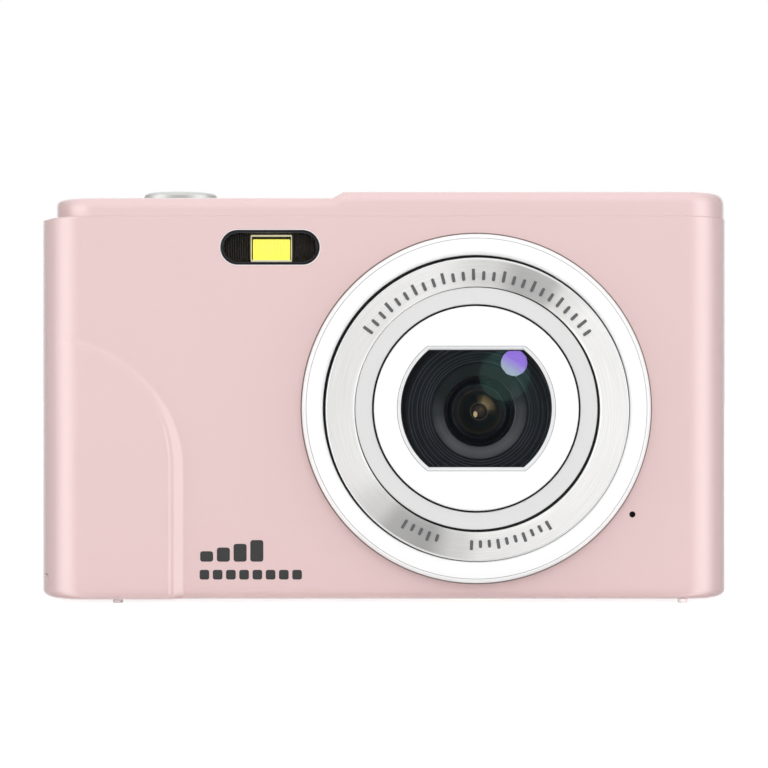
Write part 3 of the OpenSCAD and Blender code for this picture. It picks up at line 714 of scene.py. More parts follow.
@dataclass(frozen=True)
class Finishes:
    """Every finish of the camera."""

    case: Finish = Finish("case_paint", (0.765, 0.563, 0.559), 0.36, coat=1.0, coat_roughness=0.14,
                          specular=0.4, fine=9000, relief=0.05, depth=0.008, mottle=0.008, broad=35)
    bezel: Finish = Finish("bezel_white", (0.93, 0.93, 0.93), 0.22, coat=0.4, mottle=0.005)
    # Painted shade: dark band on the outer ring's outer chamfer.
    bezel_rim_shade: Finish = Finish("bezel_rim_shade", (0.16, 0.13, 0.115), 0.6, specular=0.2)
    # Painted shade: grey for the small step inside the outer ring's rim.
    bezel_step_shade: Finish = Finish("bezel_step_shade", (0.30, 0.30, 0.30), 0.4)
    cap: Finish = Finish("cap_white", (0.93, 0.93, 0.93), 0.2, coat=0.4, mottle=0.005)
    trim: Finish = Finish("satin_trim", (0.70, 0.70, 0.70), 0.45, mottle=0.01, fine=7000)
    # Near black: painted shadow under the gaps between the lens rings, and the window's seal.
    line: Finish = Finish("seal_and_gap_shade", (0.008, 0.008, 0.010), 0.5)
    chamfer: Finish = Finish("bright_chamfer", (0.88, 0.88, 0.88), 0.2, metallic=0.3, mottle=0.02)
    bevel: Finish = Finish("bevel_white", (0.86, 0.87, 0.88), 0.2, coat=0.4, mottle=0.01)
    baffle: Finish = Finish("baffle_black", (0.020, 0.024, 0.030), 0.5, specular=0.3, fine=6000, relief=0.1)
    window: Finish = Finish("clear_glass", (0.95, 0.97, 1.0), 0.004, specular=0.5, ior=1.45, transmission=1.0,
                            relief=0.0)
    flash_glass: Finish = Finish("flash_lens", (0.02, 0.02, 0.02), 0.04, alpha=0.1, relief=0.0)
    flash_rim: Finish = Finish("flash_rim", (0.008, 0.009, 0.014), 0.4)
    # Painted glint: glowing gold for a small dome that stands in for a reflection in the pupil.
    glint: Finish = Finish("pupil_glint", (0.85, 0.66, 0.34), 0.4, glow=0.25)
    # Painted highlight: pale pink for a ring round the flash window, in place of light on the hole's rounded
    # edge.
    flash_edge_highlight: Finish = Finish("flash_edge_highlight", (0.93, 0.86, 0.86), 0.3, coat=0.4)
    flash_line: Finish = Finish("flash_line", (0.10, 0.10, 0.11), 0.35, metallic=0.3)
    reflector: Finish = RibbedFinish("flash_reflector", (0.20, 0.16, 0.115), 0.35, metallic=0.1,
                                     relief=0.4, depth=0.1, pitch=0.31)
    lamp: Finish = RibbedFinish("lamp_yellow", (1.0, 0.98, 0.14), 0.4, glow=0.5, relief=0.2, depth=0.05,
                                pitch=0.42, dark=(0.95, 0.86, 0.10))
    # Painted reflection: glowing pale yellow for the strips that stand in for the lamp mirrored in the
    # window's edges.
    lamp_reflection: Finish = Finish("flash_lamp_reflection", (0.95, 0.90, 0.62), 0.5, glow=0.25, mottle=0.12, broad=900)
    chrome: Finish = Finish("button_chrome", (0.62, 0.64, 0.62), 0.34, metallic=0.3, coat=0.3, fine=7000,
                            mottle=0.02)
    key: Finish = Finish("key_silver", (0.62, 0.62, 0.63), 0.33, metallic=0.25, coat=0.3, fine=8000)
    icon: Finish = Finish("icon_grey", (0.05, 0.05, 0.055), 0.5)
    mark: Finish = Finish("mark_grey", (0.040, 0.040, 0.042), 0.55)
    ring_mark: Finish = Finish("ring_mark", (0.11, 0.11, 0.115), 0.5)
    hole: Finish = Finish("hole_black", (0.004, 0.004, 0.004), 0.8)
    glass_black: Finish = Finish("display_glass", (0.010, 0.010, 0.012), 0.06, coat=0.6, relief=0.0,
                                 mottle=0.0)
    display: Finish = Finish("display", (0.022, 0.025, 0.033), 0.08, coat=0.6, relief=0.0, mottle=0.0)
    rubber: Finish = Finish("foot_rubber", (0.92, 0.86, 0.84), 0.7, fine=3000, relief=0.2)
    steel: Finish = Finish("steel", (0.56, 0.56, 0.57), 0.3, metallic=1.0, mottle=0.08, broad=300)
    spring: Finish = Finish("spring_steel", (0.6, 0.6, 0.6), 0.2, metallic=1.0)
    brass: Finish = Finish("brass_insert", (0.72, 0.52, 0.24), 0.3, metallic=1.0, mottle=0.08, broad=400)
    board: Finish = Finish("board", (0.012, 0.10, 0.035), 0.35, coat=0.3, mottle=0.15, broad=500)
    gold: Finish = Finish("gold_contact", (0.83, 0.60, 0.22), 0.2, metallic=1.0, mottle=0.05, broad=500)
    wrap: Finish = Finish("battery_wrap", (0.02, 0.045, 0.15), 0.4, coat=0.2, fine=5000)
    card: Finish = Finish("card_plastic", (0.010, 0.018, 0.06), 0.45, fine=6000, relief=0.1)
    bay: Finish = Finish("bay_plastic", (0.025, 0.025, 0.027), 0.55, fine=4000, relief=0.15)
    cone: Finish = Finish("speaker", (0.02, 0.02, 0.02), 0.6, fine=2500, relief=0.2)
    amber: Finish = Finish("lamp_amber", (0.85, 0.38, 0.05), 0.25, coat=0.4, glow=0.1)
    sensor: Finish = Finish("sensor", (0.035, 0.03, 0.06), 0.15, coat=0.5, mottle=0.2, broad=700)
    filter_glass: Finish = Finish("filter_glass", (0.45, 0.75, 0.72), 0.05, alpha=0.5, coat=0.3)
    retainer_dark: Finish = Finish("retainer_rim", (0.006, 0.006, 0.008), 0.35)


# Case


@dataclass
class Station:
    """A place round the plan of the case: a point of a rounded end, or of a flat."""

    x: float
    reach: float
    depth: float
    side: Side
    sunk: float = 0.0

    def at(self, plan: CasePlan, inset: float, floor: float | None = None) -> Pair:
        """Position in the plan.

        Args:
            plan: Outline of the case.
            inset: Distance inwards.
            floor: Distance from the parting line, where the place is on the floor.

        Returns:
            The (x, y) position.
        """
        inset += self.sunk
        x = self.x + self.reach * (plan.side_a - inset)
        if floor is not None:
            return x, plan.mid_y + self.side.value * floor
        return x, plan.mid_y + self.side.value * self.depth * (plan.side_b - inset)


@dataclass
class CasePlan:
    """The outline of the case from above, with half-elliptical ends."""

    left: float
    right: float
    mid_y: float
    side_b: float
    side_a: float = 6.5

    def half(self, side: Side, flat_xs: Sequence[float], end_steps: int = 30, groove: float = 0.0
             ) -> list[Station]:
        """Stations from the left end to the right end of one half.

        Args:
            side: Front or rear half.
            flat_xs: Places along the flat, between the ends.
            end_steps: Stretches along each quarter of a rounded end.
            groove: Size of the bevel along the parting line.

        Returns:
            The stations in order along +X.
        """
        turn = [math.pi / 2 * i / end_steps for i in range(end_steps + 1)]
        if groove:
            turn.insert(1, groove / self.side_b)
        first, last = self.left + self.side_a, self.right - self.side_a
        stations = [Station(first, -math.cos(t), math.sin(t), side, 0.0 if t else groove) for t in turn]
        stations += [Station(x, 0.0, 1.0, side) for x in flat_xs if first + 0.01 < x < last - 0.01]
        return stations + [Station(last, math.cos(t), math.sin(t), side, 0.0 if t else groove)
                           for t in reversed(turn)]

    def loop(self, flat_xs: Sequence[float], end_steps: int = 24) -> list[Station]:
        """Stations all the way round, front first, ending where they start."""
        return self.half(Side.FRONT, flat_xs, end_steps) + self.half(Side.REAR, flat_xs, end_steps)[::-1]


def steps(low: float, high: float, pitch: float) -> list[float]:
    """Evenly spaced values about pitch apart, both ends included."""
    count = max(1, round((high - low) / pitch))
    return [low + (high - low) * i / count for i in range(count + 1)]


@dataclass
class Grip:
    """The raised finger grip on the front: a pad whose edge falls to the face in a soft step."""

    centre: Pair = (-47.0, 18.0)
    reach: float = 20.15
    rise: float = 18.4
    fall: tuple[Pair, ...] = ((0.0, 0.0), (0.12, 0.01), (0.34, 0.13), (1.24, 0.85), (1.42, 0.93),
                              (1.66, 0.95), (1.8, 0.99), (1.98, 1.13), (2.1, 1.18), (2.5, 1.2))

    def height(self, x: float, z: float) -> float:
        """How far the grip stands out of the face at a place.

        Args:
            x: Place along X.
            z: Height of the place.

        Returns:
            The distance, 0 outside the grip.
        """
        dx, dz = (x - self.centre[0]) / self.reach, max(0.0, (z - self.centre[1]) / self.rise)
        f = math.hypot(dx, dz)
        slope = math.hypot(dx / self.reach, dz / self.rise) / max(f, 1e-6)
        inside = (1 - f) / max(slope, 1e-6)
        narrow = 1 - 0.45 * smooth(18.0, 31.0, z)
        fade = narrow * (1 - 0.62 * smooth(24.0, 36.5, z))
        inside /= narrow
        for (low, start), (high, end) in zip(self.fall, self.fall[1:]):
            if inside < high:
                return fade * (start + (end - start) * max(0.0, inside - low) / (high - low))
        return fade * self.fall[-1][1]


@dataclass
class CaseShells:
    """Front cover, rear cover and top cover."""

    finishes: Finishes
    front: Room = room_field("front_cover")
    rear: Room = room_field("rear_cover")
    top: Room = room_field("top_cover")
    wall: float = 1.2
    foot_round: float = 1.7
    end_foot_round: float = 0.9
    seam_bevel: float = 0.05
    shoulder_round: float = 0.9
    shoulder_in: float = 3.4
    groove: float = 0.1
    last_row: float = 51.85
    ramp: Pair = (-6.95, -5.42)
    ramp_soft: float = 0.12
    button_rise: float = 1.41
    grip: Grip = field(default_factory=Grip)

    def __post_init__(self) -> None:
        """Work out the plans from the CAD's boxes."""
        mid_y = (self.top.low.y + self.top.high.y) / 2
        depth = self.top.size.y / 2
        self.base_z = self.front.low.z
        self.seam_z = self.top.low.z
        self.plan = CasePlan(self.rear.low.x, self.rear.high.x, mid_y, depth)
        self.top_plan = CasePlan(self.top.low.x, self.top.high.x, mid_y, depth)

    @property
    def face_y(self) -> float:
        """Y of the flat front face."""
        return self.plan.mid_y - self.plan.side_b

    @property
    def back_y(self) -> float:
        """Y of the flat back face."""
        return self.plan.mid_y + self.plan.side_b

    def rows(self, heights: Sequence[float], groove: float) -> list[tuple[float, float, float | None]]:
        """Rows of a shell from the floor's middle to the seam.

        Args:
            heights: Heights of the rows above the foot rounding.
            groove: Size of the bevel along the parting line.

        Returns:
            For each row its height, its inset and, on the floor, its distance to the parting line.
        """
        r = self.foot_round
        floor = [(self.base_z + groove, r, 0.0)] + ([(self.base_z, r, groove)] if groove else [])
        arc_rows = [(self.base_z + r * (1 - math.cos(a)), r * (1 - math.sin(a)), None)
                    for a in (math.radians(90 * i / 8) for i in range(9))]
        return [*floor, *arc_rows, *((z, 0.0, None) for z in heights)]

    def skin(self, stations: Sequence[Station], heights: Sequence[float], top_round: bool) -> Form:
        """Outer surface over some stations, closed at the top and along the parting line.

        Args:
            stations: Places round the plan.
            heights: Heights of the rows above the foot rounding.
            top_round: Whether the surface ends in the shoulder's rounding at the seam.

        Returns:
            A closed solid.
        """
        rows = self.rows(heights, self.groove if top_round else 0.0)
        corner = 4 if top_round else 0

        def place(i: int, j: int) -> Vector:
            """Point of the skin at a station and a row."""
            station = stations[i]
            closing = j == len(rows) + corner
            j -= closing
            if j < len(rows):
                z, inset, floor = rows[j]
                if z < self.base_z + self.foot_round + 0.01:
                    end_share = self.end_foot_round / self.foot_round
                    share = end_share + (1 - end_share) * station.depth ** 2
                    z, inset = self.base_z + (z - self.base_z) * share, inset * share
            else:
                a = math.radians(90 * (j - len(rows) + 1) / corner)
                ends = max(0.0, -station.reach) ** 1.5
                r = self.seam_bevel + (self.shoulder_round - self.seam_bevel) * ends
                z, inset, floor = self.seam_z - r * (1 - math.sin(a)), r * (1 - math.cos(a)), None
            floor = 0.0 if closing else floor
            x, y = station.at(self.plan, inset, floor)
            if station.side is Side.FRONT and floor is None:
                y -= station.depth * self.grip.height(x, z)
            return Vector((x, y, z))

        return Form.grid(len(stations), len(rows) + corner + 1, place).cap()

    def hollow(self, low: float, high: float, inset: float) -> Form:
        """The space inside the walls between two heights.

        Args:
            low: Height of its floor.
            high: Height of its ceiling.
            inset: Distance from the outer surface.

        Returns:
            The closed space.
        """
        stations = self.plan.loop([-20.0, 0.0, 20.0], 20)[:-1]
        form = Form()
        ring = [form.bm.verts.new((*s.at(self.plan, inset), low)) for s in stations]
        face = form.bm.faces.new(ring)
        grown = bmesh.ops.extrude_face_region(form.bm, geom=[face], use_keep_orig=True)
        moved = [g for g in grown["geom"] if isinstance(g, bmesh.types.BMVert)]
        bmesh.ops.translate(form.bm, verts=moved, vec=(0, 0, high - low))
        return form.weld(1e-4)

    def empty(self, form: Form) -> Form:
        """Take the inside out of a solid half."""
        form.carve(self.hollow(self.base_z + self.wall, self.seam_z - self.wall, self.wall))
        return form.carve(self.hollow(self.seam_z - 2 * self.wall, self.seam_z + 5, self.shoulder_in))

    def build_front(self, holes: Form) -> None:
        """Front cover with the grip.

        Args:
            holes: Everything that is cut out of it.
        """
        xs = steps(-40.5, -29.6, 0.2) + steps(-29.6, -26.6, 0.07) + steps(-26.6, 40.5, 2.2)
        heights = steps(2.6, 18.0, 0.8) + steps(18.0, 37.5, 0.16)[1:] + steps(37.5, 51.0, 2.2)[1:]
        heights.append(self.last_row)
        solid = self.skin(self.plan.half(Side.FRONT, sorted(set(xs)), 34, self.groove), heights, True)
        shell = self.empty(solid).carve(holes)
        shell.piece("front_shell", [self.finishes.case], "case", "case_paint", ["front_cover"], angle=40)

    def build_rear(self, holes: Form) -> None:
        """Rear cover.

        Args:
            holes: Everything that is cut out of it.
        """
        solid = self.skin(self.plan.half(Side.REAR, steps(-40.5, 40.5, 4.0), 30, self.groove),
                          [*steps(3.2, 51.0, 2.4), self.last_row], True)
        shell = self.empty(solid).carve(holes)
        shell.piece("rear_shell", [self.finishes.case], "case", "case_paint", ["rear_cover"], angle=40)

    def deck(self, x: float) -> float:
        """Height of the top cover's deck, with a short ramp between the grip side and the lens side.

        Args:
            x: Place along X.

        Returns:
            The height.
        """
        low, high = Room.of("shutter_button").high.z - self.button_rise, self.top.high.z
        start, end = self.ramp
        t = (x - start) / (end - start)
        soft = self.ramp_soft
        rise = max(0.0, min(1.0, t))
        if abs(t) < soft:
            rise = (t + soft) ** 2 / (4 * soft)
        if abs(t - 1) < soft:
            rise = 1 - (1 - t + soft) ** 2 / (4 * soft)
        return low + (high - low) * rise

    def build_top(self) -> None:
        """Top cover, with the collar round the shutter button."""
        xs = steps(-38.6, -7.3, 3.0) + steps(-7.3, -5.0, 0.08) + steps(-5.0, 40.4, 3.0)
        stations = self.top_plan.loop(sorted(set(xs)), 24)
        bevel = self.seam_bevel
        fillet_steps = 7

        def place(i: int, j: int) -> Vector:
            """Point of the top cover at a station and a row."""
            station = stations[i]
            face = station.depth ** 2
            end_drop, end_in = (0.62, 0.6) if station.x < 0 else (1.5, 0.95)
            drop = 1.75 * face + end_drop * (1 - face)
            inward = 1.5 * face + end_in * (1 - face)
            if j <= 2:
                inset, z = ((bevel + 0.4, self.seam_z), (bevel, self.seam_z), (0.0, self.seam_z + bevel))[j]
            elif j <= fillet_steps + 3:
                a = math.radians(90 * (j - 3) / fillet_steps)
                inset = inward * (1 - math.cos(a))
                z = self.deck(station.x + station.reach * self.top_plan.side_a) - drop * (1 - math.sin(a))
            else:
                inset, z = inward + 0.25, 0.0
            x, y = station.at(self.top_plan, inset, 0.0 if j > fillet_steps + 4 else None)
            if j >= fillet_steps + 3:
                z = self.deck(x)
            return Vector((x, y, z))

        shell = Form.grid(len(stations), fillet_steps + 6, place).cap()
        shutter, power = Room.of("shutter_button"), Room.of("power_button")
        mid_y = self.top_plan.mid_y
        low_deck = self.deck(-30.0)
        collar = Form.lathe([(4.6, -0.6), (6.25, -0.6), (6.2, 0.0), (5.95, 0.09), (5.5, 0.2), (5.24, 0.24),
                             (5.19, 0.2), (5.19, -0.6)], 96)
        collar.turn(Matrix.Translation((shutter.centre.x, mid_y, low_deck)))
        for room, radius in ((shutter, 5.2), (power, 3.15)):
            middle = Vector((room.centre.x, mid_y, 0))
            shell.carve(Form.rod(middle + Vector((0, 0, 50)), middle + Vector((0, 0, 58)), radius, 96))
        shell.carve(self.hollow(self.seam_z - 1, low_deck - 1.6, 1.9)).join(collar)
        shell.piece("top_shell", [self.finishes.case], "case", "case_paint", ["top_cover"], angle=40)


@dataclass
class CasePanels:
    """The battery door and the USB cover, cut from the case's own surface."""

    shells: CaseShells
    door: Room = room_field("battery_door")
    usb: Room = room_field("usb_cover")
    gap: float = 0.16
    corner: float = 1.1
    door_high: float = 3.65
    door_pin: Pair = (-5.4, 1.45)
    door_reach: float = -4.2
    usb_pin: Pair = (45.2, 7.35)
    usb_rear: float = 7.2
    usb_clear: float = 7.97

    def door_outline(self, grow: float) -> list[Pair]:
        """Side view of the door's room, as (y, z) with round upper corners."""
        low, high = self.door.low.y - grow, self.door.high.y + grow
        top, r = self.door_high + grow, self.corner
        front = arc((low + r, top - r), r, 180, 90, 6)
        rear = arc((high - r, top - r), r, 90, 0, 6)
        return [(low, -1.0), *front, *rear, (high, -1.0)]

    def door_room(self, grow: float, inner_x: float) -> Form:
        """The room that the door fills, as a cutter from beyond the grip side to inner_x."""
        return Form.side_plate(self.door_outline(grow), -49.0, inner_x)

    def usb_room(self, grow: float, rear: float) -> Form:
        """The room that the USB cover fills, as a cutter through the side wall.

        Args:
            grow: Clearance all round.
            rear: Where the room ends behind.

        Returns:
            The cutter.
        """
        low, high = self.usb.low, self.usb.high
        middle = ((low.y + rear) / 2, (low.z + high.z) / 2)
        outline = rounded(middle, rear - low.y + 2 * grow, high.z - low.z + 2 * grow, 0.3)
        return Form.side_plate(outline, 40.0, 49.0)

    def build_door(self) -> None:
        """Battery door with its knuckle, finger grooves and latch slot."""
        shells, plan = self.shells, self.shells.plan
        pin_x, pin_z = self.door_pin
        solid = shells.skin(plan.loop(steps(-40.5, 40.5, 5.0), 30), [2.9, 3.4, 4.2, 5.0], False)
        solid.carve(self.door_room(0.0, pin_x), Cut.KEEP)
        solid.carve(shells.hollow(shells.base_z + shells.wall, 9.0, shells.wall))
        low, high = self.door.low.y, self.door.high.y
        knuckle = Form.rod(Vector((pin_x, low, pin_z)), Vector((pin_x, high, pin_z)), 0.84, 32)
        latch = Room.of("door_latch")
        slot = Form.block((latch.low.x - 0.3, -0.2, -1), (latch.high.x + 0.3, 5.9, shells.base_z + 0.65))
        solid.carve(slot)
        grooves = Form()
        for i in range(5):
            x = -38.5 + 0.9 * i
            start, end = Vector((x, -1.5, shells.base_z - 0.12)), Vector((x, 5.5, shells.base_z - 0.12))
            grooves.join(Form.rod(start, end, 0.3, 12))
        solid.carve(grooves).join(knuckle)
        solid.piece("door_shell", [shells.finishes.case], "battery_door", "case_paint", ["battery_door"])

    def build_latch(self) -> None:
        """Slider of the battery door, with ridges for a fingernail."""
        room = Room.of("door_latch")
        finishes = self.shells.finishes
        base = self.shells.base_z
        low, high = room.low, room.high
        plate = Form.block((low.x, low.y, base + 0.1), (high.x, low.y + 3.6, base + 0.55), 0.12)
        ridges = [Form.block((low.x + 0.8, low.y + 0.6 + 0.6 * i, base + 0.02),
                             (high.x - 0.8, low.y + 0.9 + 0.6 * i, base + 0.2), 0.05) for i in range(5)]
        stem = Form.block((room.centre.x - 2, low.y + 0.7, base + 0.5),
                          (room.centre.x + 2, low.y + 2.9, base + 1.4))
        tongue = Form.block((room.centre.x - 3, low.y + 0.7, high.z - 0.7),
                            (room.centre.x + 3, high.y, high.z), 0.08)
        plate.join(*ridges, stem, tongue)
        plate.piece("latch_slider", [finishes.key], "door_latch", "key_silver", ["door_latch"])

    def build_usb_cover(self) -> None:
        """USB cover with its barrel and a finger notch."""
        shells, plan = self.shells, self.shells.plan
        solid = shells.skin(plan.half(Side.REAR, steps(-40.5, 40.5, 9.0), 48), steps(4, 51.0, 2.0), False)
        solid.carve(self.usb_room(0.0, self.usb_rear), Cut.KEEP)
        solid.carve(shells.hollow(shells.base_z + shells.wall, shells.seam_z + 2, shells.wall))
        low, high = self.usb.low, self.usb.high
        notch = Form.rod(Vector((plan.right + 0.35, low.y + 0.1, (low.z + high.z) / 2 - 2)),
                         Vector((plan.right + 0.35, low.y + 0.1, (low.z + high.z) / 2 + 2)), 0.8, 24)
        solid.carve(notch)
        solid.join(Form.rod(Vector((*self.usb_pin, low.z)), Vector((*self.usb_pin, high.z)), 0.44, 24))
        solid.piece("usb_flap", [shells.finishes.case], "usb_cover", "case_paint", ["usb_cover"])


# Lens


@dataclass
class Lens:
    """The stepped rings round the lens, the cap with its window, and the glass behind it."""

    finishes: Finishes
    face_y: float
    bezel: Room = room_field("lens_bezel")
    dress: Room = room_field("dress_ring")
    trim: Room = room_field("trim_ring")
    cap: Room = room_field("lens_cap")
    block_shift: Pair = (0.55, -0.42)
    ring_shift: Pair = (0.14, -0.13)
    opening_r: float = 10.1
    opening_flat: float = 7.85
    bevel: float = 0.5

    def __post_init__(self) -> None:
        """Find the lens axis."""
        self.axis = (self.bezel.centre.x, self.bezel.centre.z)

    def on_axis(self, y: float) -> Vector:
        """Point of the lens axis at a depth."""
        return Vector((self.axis[0], y, self.axis[1]))

    def seat(self, form: Form, shift: Pair = (0.0, 0.0)) -> Form:
        """Move a shape spun about Z onto the lens axis, with its heights measured out of the face."""
        place = Matrix.Translation((self.axis[0] + shift[0], self.face_y, self.axis[1] + shift[1]))
        return form.turn(place @ Matrix.Rotation(math.pi / 2, 4, "X"))

    def opening(self, grow: float) -> list[Pair]:
        """Outline of the cap's opening: a circle with its top and bottom cut flat, about the axis."""
        radius, flat = self.opening_r + grow, self.opening_flat + grow
        reach = math.degrees(math.asin(flat / radius))
        right = arc((0.0, 0.0), radius, -reach, reach, 32)
        left = arc((0.0, 0.0), radius, 180 - reach, 180 + reach, 32)
        return right + left

    def slab(self, outline: Sequence[Pair], low: float, high: float) -> Form:
        """Extrude an outline drawn about the axis, between two heights out of the face."""
        placed = [(x + self.axis[0], z + self.axis[1]) for x, z in outline]
        return Form.plate(placed, self.face_y - high, self.face_y - low)

    def build_rings(self) -> None:
        """Outer ring, brushed ring and trim ring, with a near-black ring under them as painted shadow in the
        gaps between them.
        """
        top = self.face_y - self.bezel.low.y
        r = self.bezel.size.x / 2
        inner = r - 3.0
        bezel = Form.lathe([(inner, 0.0), (inner, top - 0.75), (inner + 0.12, top - 0.35),
                            (inner + 0.45, top - 0.06), (inner + 0.9, top), (r - 1.15, top),
                            (r - 0.82, top - 0.07), (r - 0.74, top - 0.2), (r - 0.66, top - 0.2),
                            (r - 0.4, top - 0.42), (r - 0.2, top - 0.8), (r, top - 1.35), (r, 0.0)], 192)
        # Painted shade: the outer ring's outer chamfer is marked dark.
        bezel.mark(1, lambda f: r - 0.15 < f.calc_center_median().xy.length < r - 0.02)
        # Painted shade: the small step inside the rim is marked grey.
        bezel.mark(2, lambda f: r - 0.82 < f.calc_center_median().xy.length < r - 0.74)
        finishes = [self.finishes.bezel, self.finishes.bezel_rim_shade, self.finishes.bezel_step_shade]
        self.seat(bezel).piece("outer_ring", finishes, "case", "bezel_white", ["lens_bezel"])
        outer = self.dress.size.x / 2 - 0.01
        high = self.face_y - self.dress.low.y
        hole = self.trim.size.x / 2 + 0.16
        dress = Form.lathe([(hole, high - 1.3), (outer, high - 1.3), (outer, high - 0.3),
                            (outer - 0.08, high - 0.1), (outer - 0.28, high), (hole + 0.3, high - 0.3),
                            (hole + 0.1, high - 0.38), (hole, high - 0.5)], 192)
        dress.mark(1, lambda f: f.calc_center_median().xy.length > outer - 0.2)
        self.seat(dress, self.ring_shift).piece(
            "brushed_ring", [self.brushed(), self.finishes.chamfer], "case", "brushed_metal", ["dress_ring"])
        # Painted shadow: a near-black ring under the rings shows through the gaps between them.
        gap = Form.lathe([(self.cap.size.x / 2 - 0.4, 1.62), (inner + 0.02, 1.62), (inner + 0.02, 1.9),
                          (self.cap.size.x / 2 - 0.4, 1.9)], 128)
        self.seat(gap).piece("ring_gap_shadow", [self.finishes.line], "case", "baffle_black")
        trim_top = self.face_y - self.trim.low.y
        trim_out, trim_in = self.trim.size.x / 2 - 0.06, self.cap.size.x / 2 + 0.2
        trim = Form.lathe([(trim_in, 1.9), (trim_out, 1.9), (trim_out, trim_top - 0.08),
                           (trim_out - 0.1, trim_top), (trim_in + 0.1, trim_top),
                           (trim_in, trim_top - 0.08)], 160)
        self.seat(trim).piece("trim_step", [self.finishes.trim], "case", "satin_trim", ["trim_ring"])

    def brushed(self) -> Finish:
        """Turned metal of the brushed ring, with two dark lobes of painted reflection."""
        # Painted reflection: dark lobes near 60 and 240 degrees, bright elsewhere.
        reflection_fans = ((0.0, 1.0), (0.11, 0.98), (0.145, 0.84), (0.165, 0.52), (0.2, 0.49), (0.235, 0.74),
                (0.3, 0.93), (0.45, 0.88), (0.58, 0.9), (0.625, 0.7), (0.65, 0.46), (0.69, 0.42),
                (0.725, 0.7), (0.76, 0.9), (0.85, 0.97), (1.0, 1.0))
        return TurnedFinish("brushed_metal", (0.93, 0.925, 0.915), 0.32, metallic=0.12, relief=0.25,
                            depth=0.02,
                            centre=(self.axis[0] + self.ring_shift[0], self.axis[1] + self.ring_shift[1]),
                            reflection_fans=reflection_fans)

    def build_cap(self) -> None:
        """Front cap with its flat-sided opening, and the bright bevel round the opening."""
        top = self.face_y - self.cap.low.y
        r = self.cap.size.x / 2 - 0.08
        profile = [(0.0, 1.62), (r, 1.62), (r, top - 0.42), (r - 0.06, top - 0.4), (r - 0.06, top - 0.3),
                   (r - 0.1, top - 0.12), (r - 0.22, top - 0.02), (r - 0.4, top), (0.0, top)]
        cap = self.seat(Form.lathe(profile, 160))
        cap.carve(self.slab(self.opening(self.bevel), 1.0, top + 1))
        frame_ring = self.slab(self.opening(self.bevel - 0.06), 1.62, top - 0.03)
        inner = self.slab(self.opening(0.0), 1.0, top + 1)
        cone = self.cone(top)
        frame_ring.carve(inner).carve(cone)
        cap.piece("front_cap", [self.finishes.cap], "case", "cap_white", ["lens_cap"])
        frame_ring.piece("window_bevel", [self.finishes.bevel], "case", "cap_white", angle=25)
        seal = self.slab(self.opening(0.05), 2.25, 2.4).carve(self.slab(self.opening(-0.17), 2.0, 3.0))
        seal.piece("window_seal", [self.finishes.line], "case", "baffle_black")

    def cone(self, top: float) -> Form:
        """Cutter that slopes from the opening out to the bevel's rim.

        Args:
            top: Height of the cap's face.

        Returns:
            The cutter.
        """
        form = self.slab(self.opening(0.0), top - 0.42, top + 0.2)
        centre = Vector((self.axis[0], 0, self.axis[1]))
        for vert in form.bm.verts:
            if vert.co.y < self.face_y - top:
                flat = Vector((vert.co.x, 0, vert.co.z)) - centre
                reach = self.bevel * 1.12
                scale_x = (flat.length + reach) / flat.length
                vert.co.x = centre.x + flat.x * scale_x
                vert.co.z = centre.z + flat.z * scale_x
        return form

    def build_inside(self) -> None:
        """Stepped baffle, retainer, front glass and the pupil behind it, with a small glowing dome as a
        painted glint on the pupil.
        """
        steps_r = (10.3, 9.6, 9.1, 8.35, 7.66, 7.05, 6.7, 6.45)
        fall = 0.55
        profile: list[Pair] = []
        height = 1.5
        for outer, inner in zip(steps_r, steps_r[1:]):
            profile += [(outer, height), (inner + 0.05, height - 0.12), (inner, height - 0.16)]
            height -= fall
        floor = height + fall - 0.3
        profile += [(steps_r[-1], floor), (steps_r[-1], floor - 0.6), (steps_r[0] + 0.5, floor - 0.6),
                    (steps_r[0] + 0.5, 1.5)]
        baffle = self.seat(Form.lathe(profile, 128), self.block_shift)
        baffle.piece("baffle_cone", [self.baffle()], "case", "baffle_black", ["lens_baffle"])
        ring = Form.lathe([(4.82, floor - 0.7), (6.44, floor - 0.7), (6.44, floor - 0.02),
                           (6.36, floor + 0.05), (4.95, floor + 0.02), (4.82, floor - 0.08)], 128)
        self.seat(ring, self.block_shift).piece("retainer", [self.retainer()], "case", "retainer_metal",
                                                ["retainer_ring"])
        rim = Form.lathe([(4.3, floor - 0.9), (4.81, floor - 0.9), (4.81, floor - 0.12), (4.74, floor - 0.05),
                          (4.62, floor - 0.05), (4.55, floor - 0.12), (4.42, floor - 0.28),
                          (4.3, floor - 0.4)], 128)
        self.seat(rim, self.block_shift)
        rim.piece("glass_rim", [self.finishes.retainer_dark], "case", "baffle_black")
        dome_r, rise = 4.4, 1.0
        sphere = (dome_r ** 2 + rise ** 2) / (2 * rise)
        sweep = math.asin(dome_r / sphere)
        dome = [(sphere * math.sin(sweep * i / 12),
                 floor - 1.35 + rise - sphere * (1 - math.cos(sweep * i / 12)))
                for i in range(13)]
        glass = Form.lathe([*dome, (dome_r, floor - 2.0), (0.0, floor - 2.0)], 96)
        # Painted glint: a small glowing gold dome at the lower left of the pupil stands in for a reflection.
        glint = Form.lathe([(0.0, 0.12), (0.2, 0.1), (0.36, 0.03), (0.42, -0.1), (0.0, -0.1)], 32)
        glint.turn(Matrix.Translation((-0.5, -0.36, floor - 0.42)) @ Matrix.Diagonal((0.85, 1.25, 1, 1)))
        self.seat(glint, self.block_shift).piece("pupil_glint", [self.finishes.glint], "case", "coated_glass")
        self.seat(glass, self.block_shift).piece("front_glass", [self.coating()], "case", "coated_glass",
                                                 ["front_element"])

    def build_window(self) -> None:
        """Thin clear window behind the cap's opening."""
        pane = self.slab(self.opening(0.2), 1.66, 2.2)
        pane.piece("window_pane", [self.finishes.window], "case", "clear_glass", ["lens_window"])

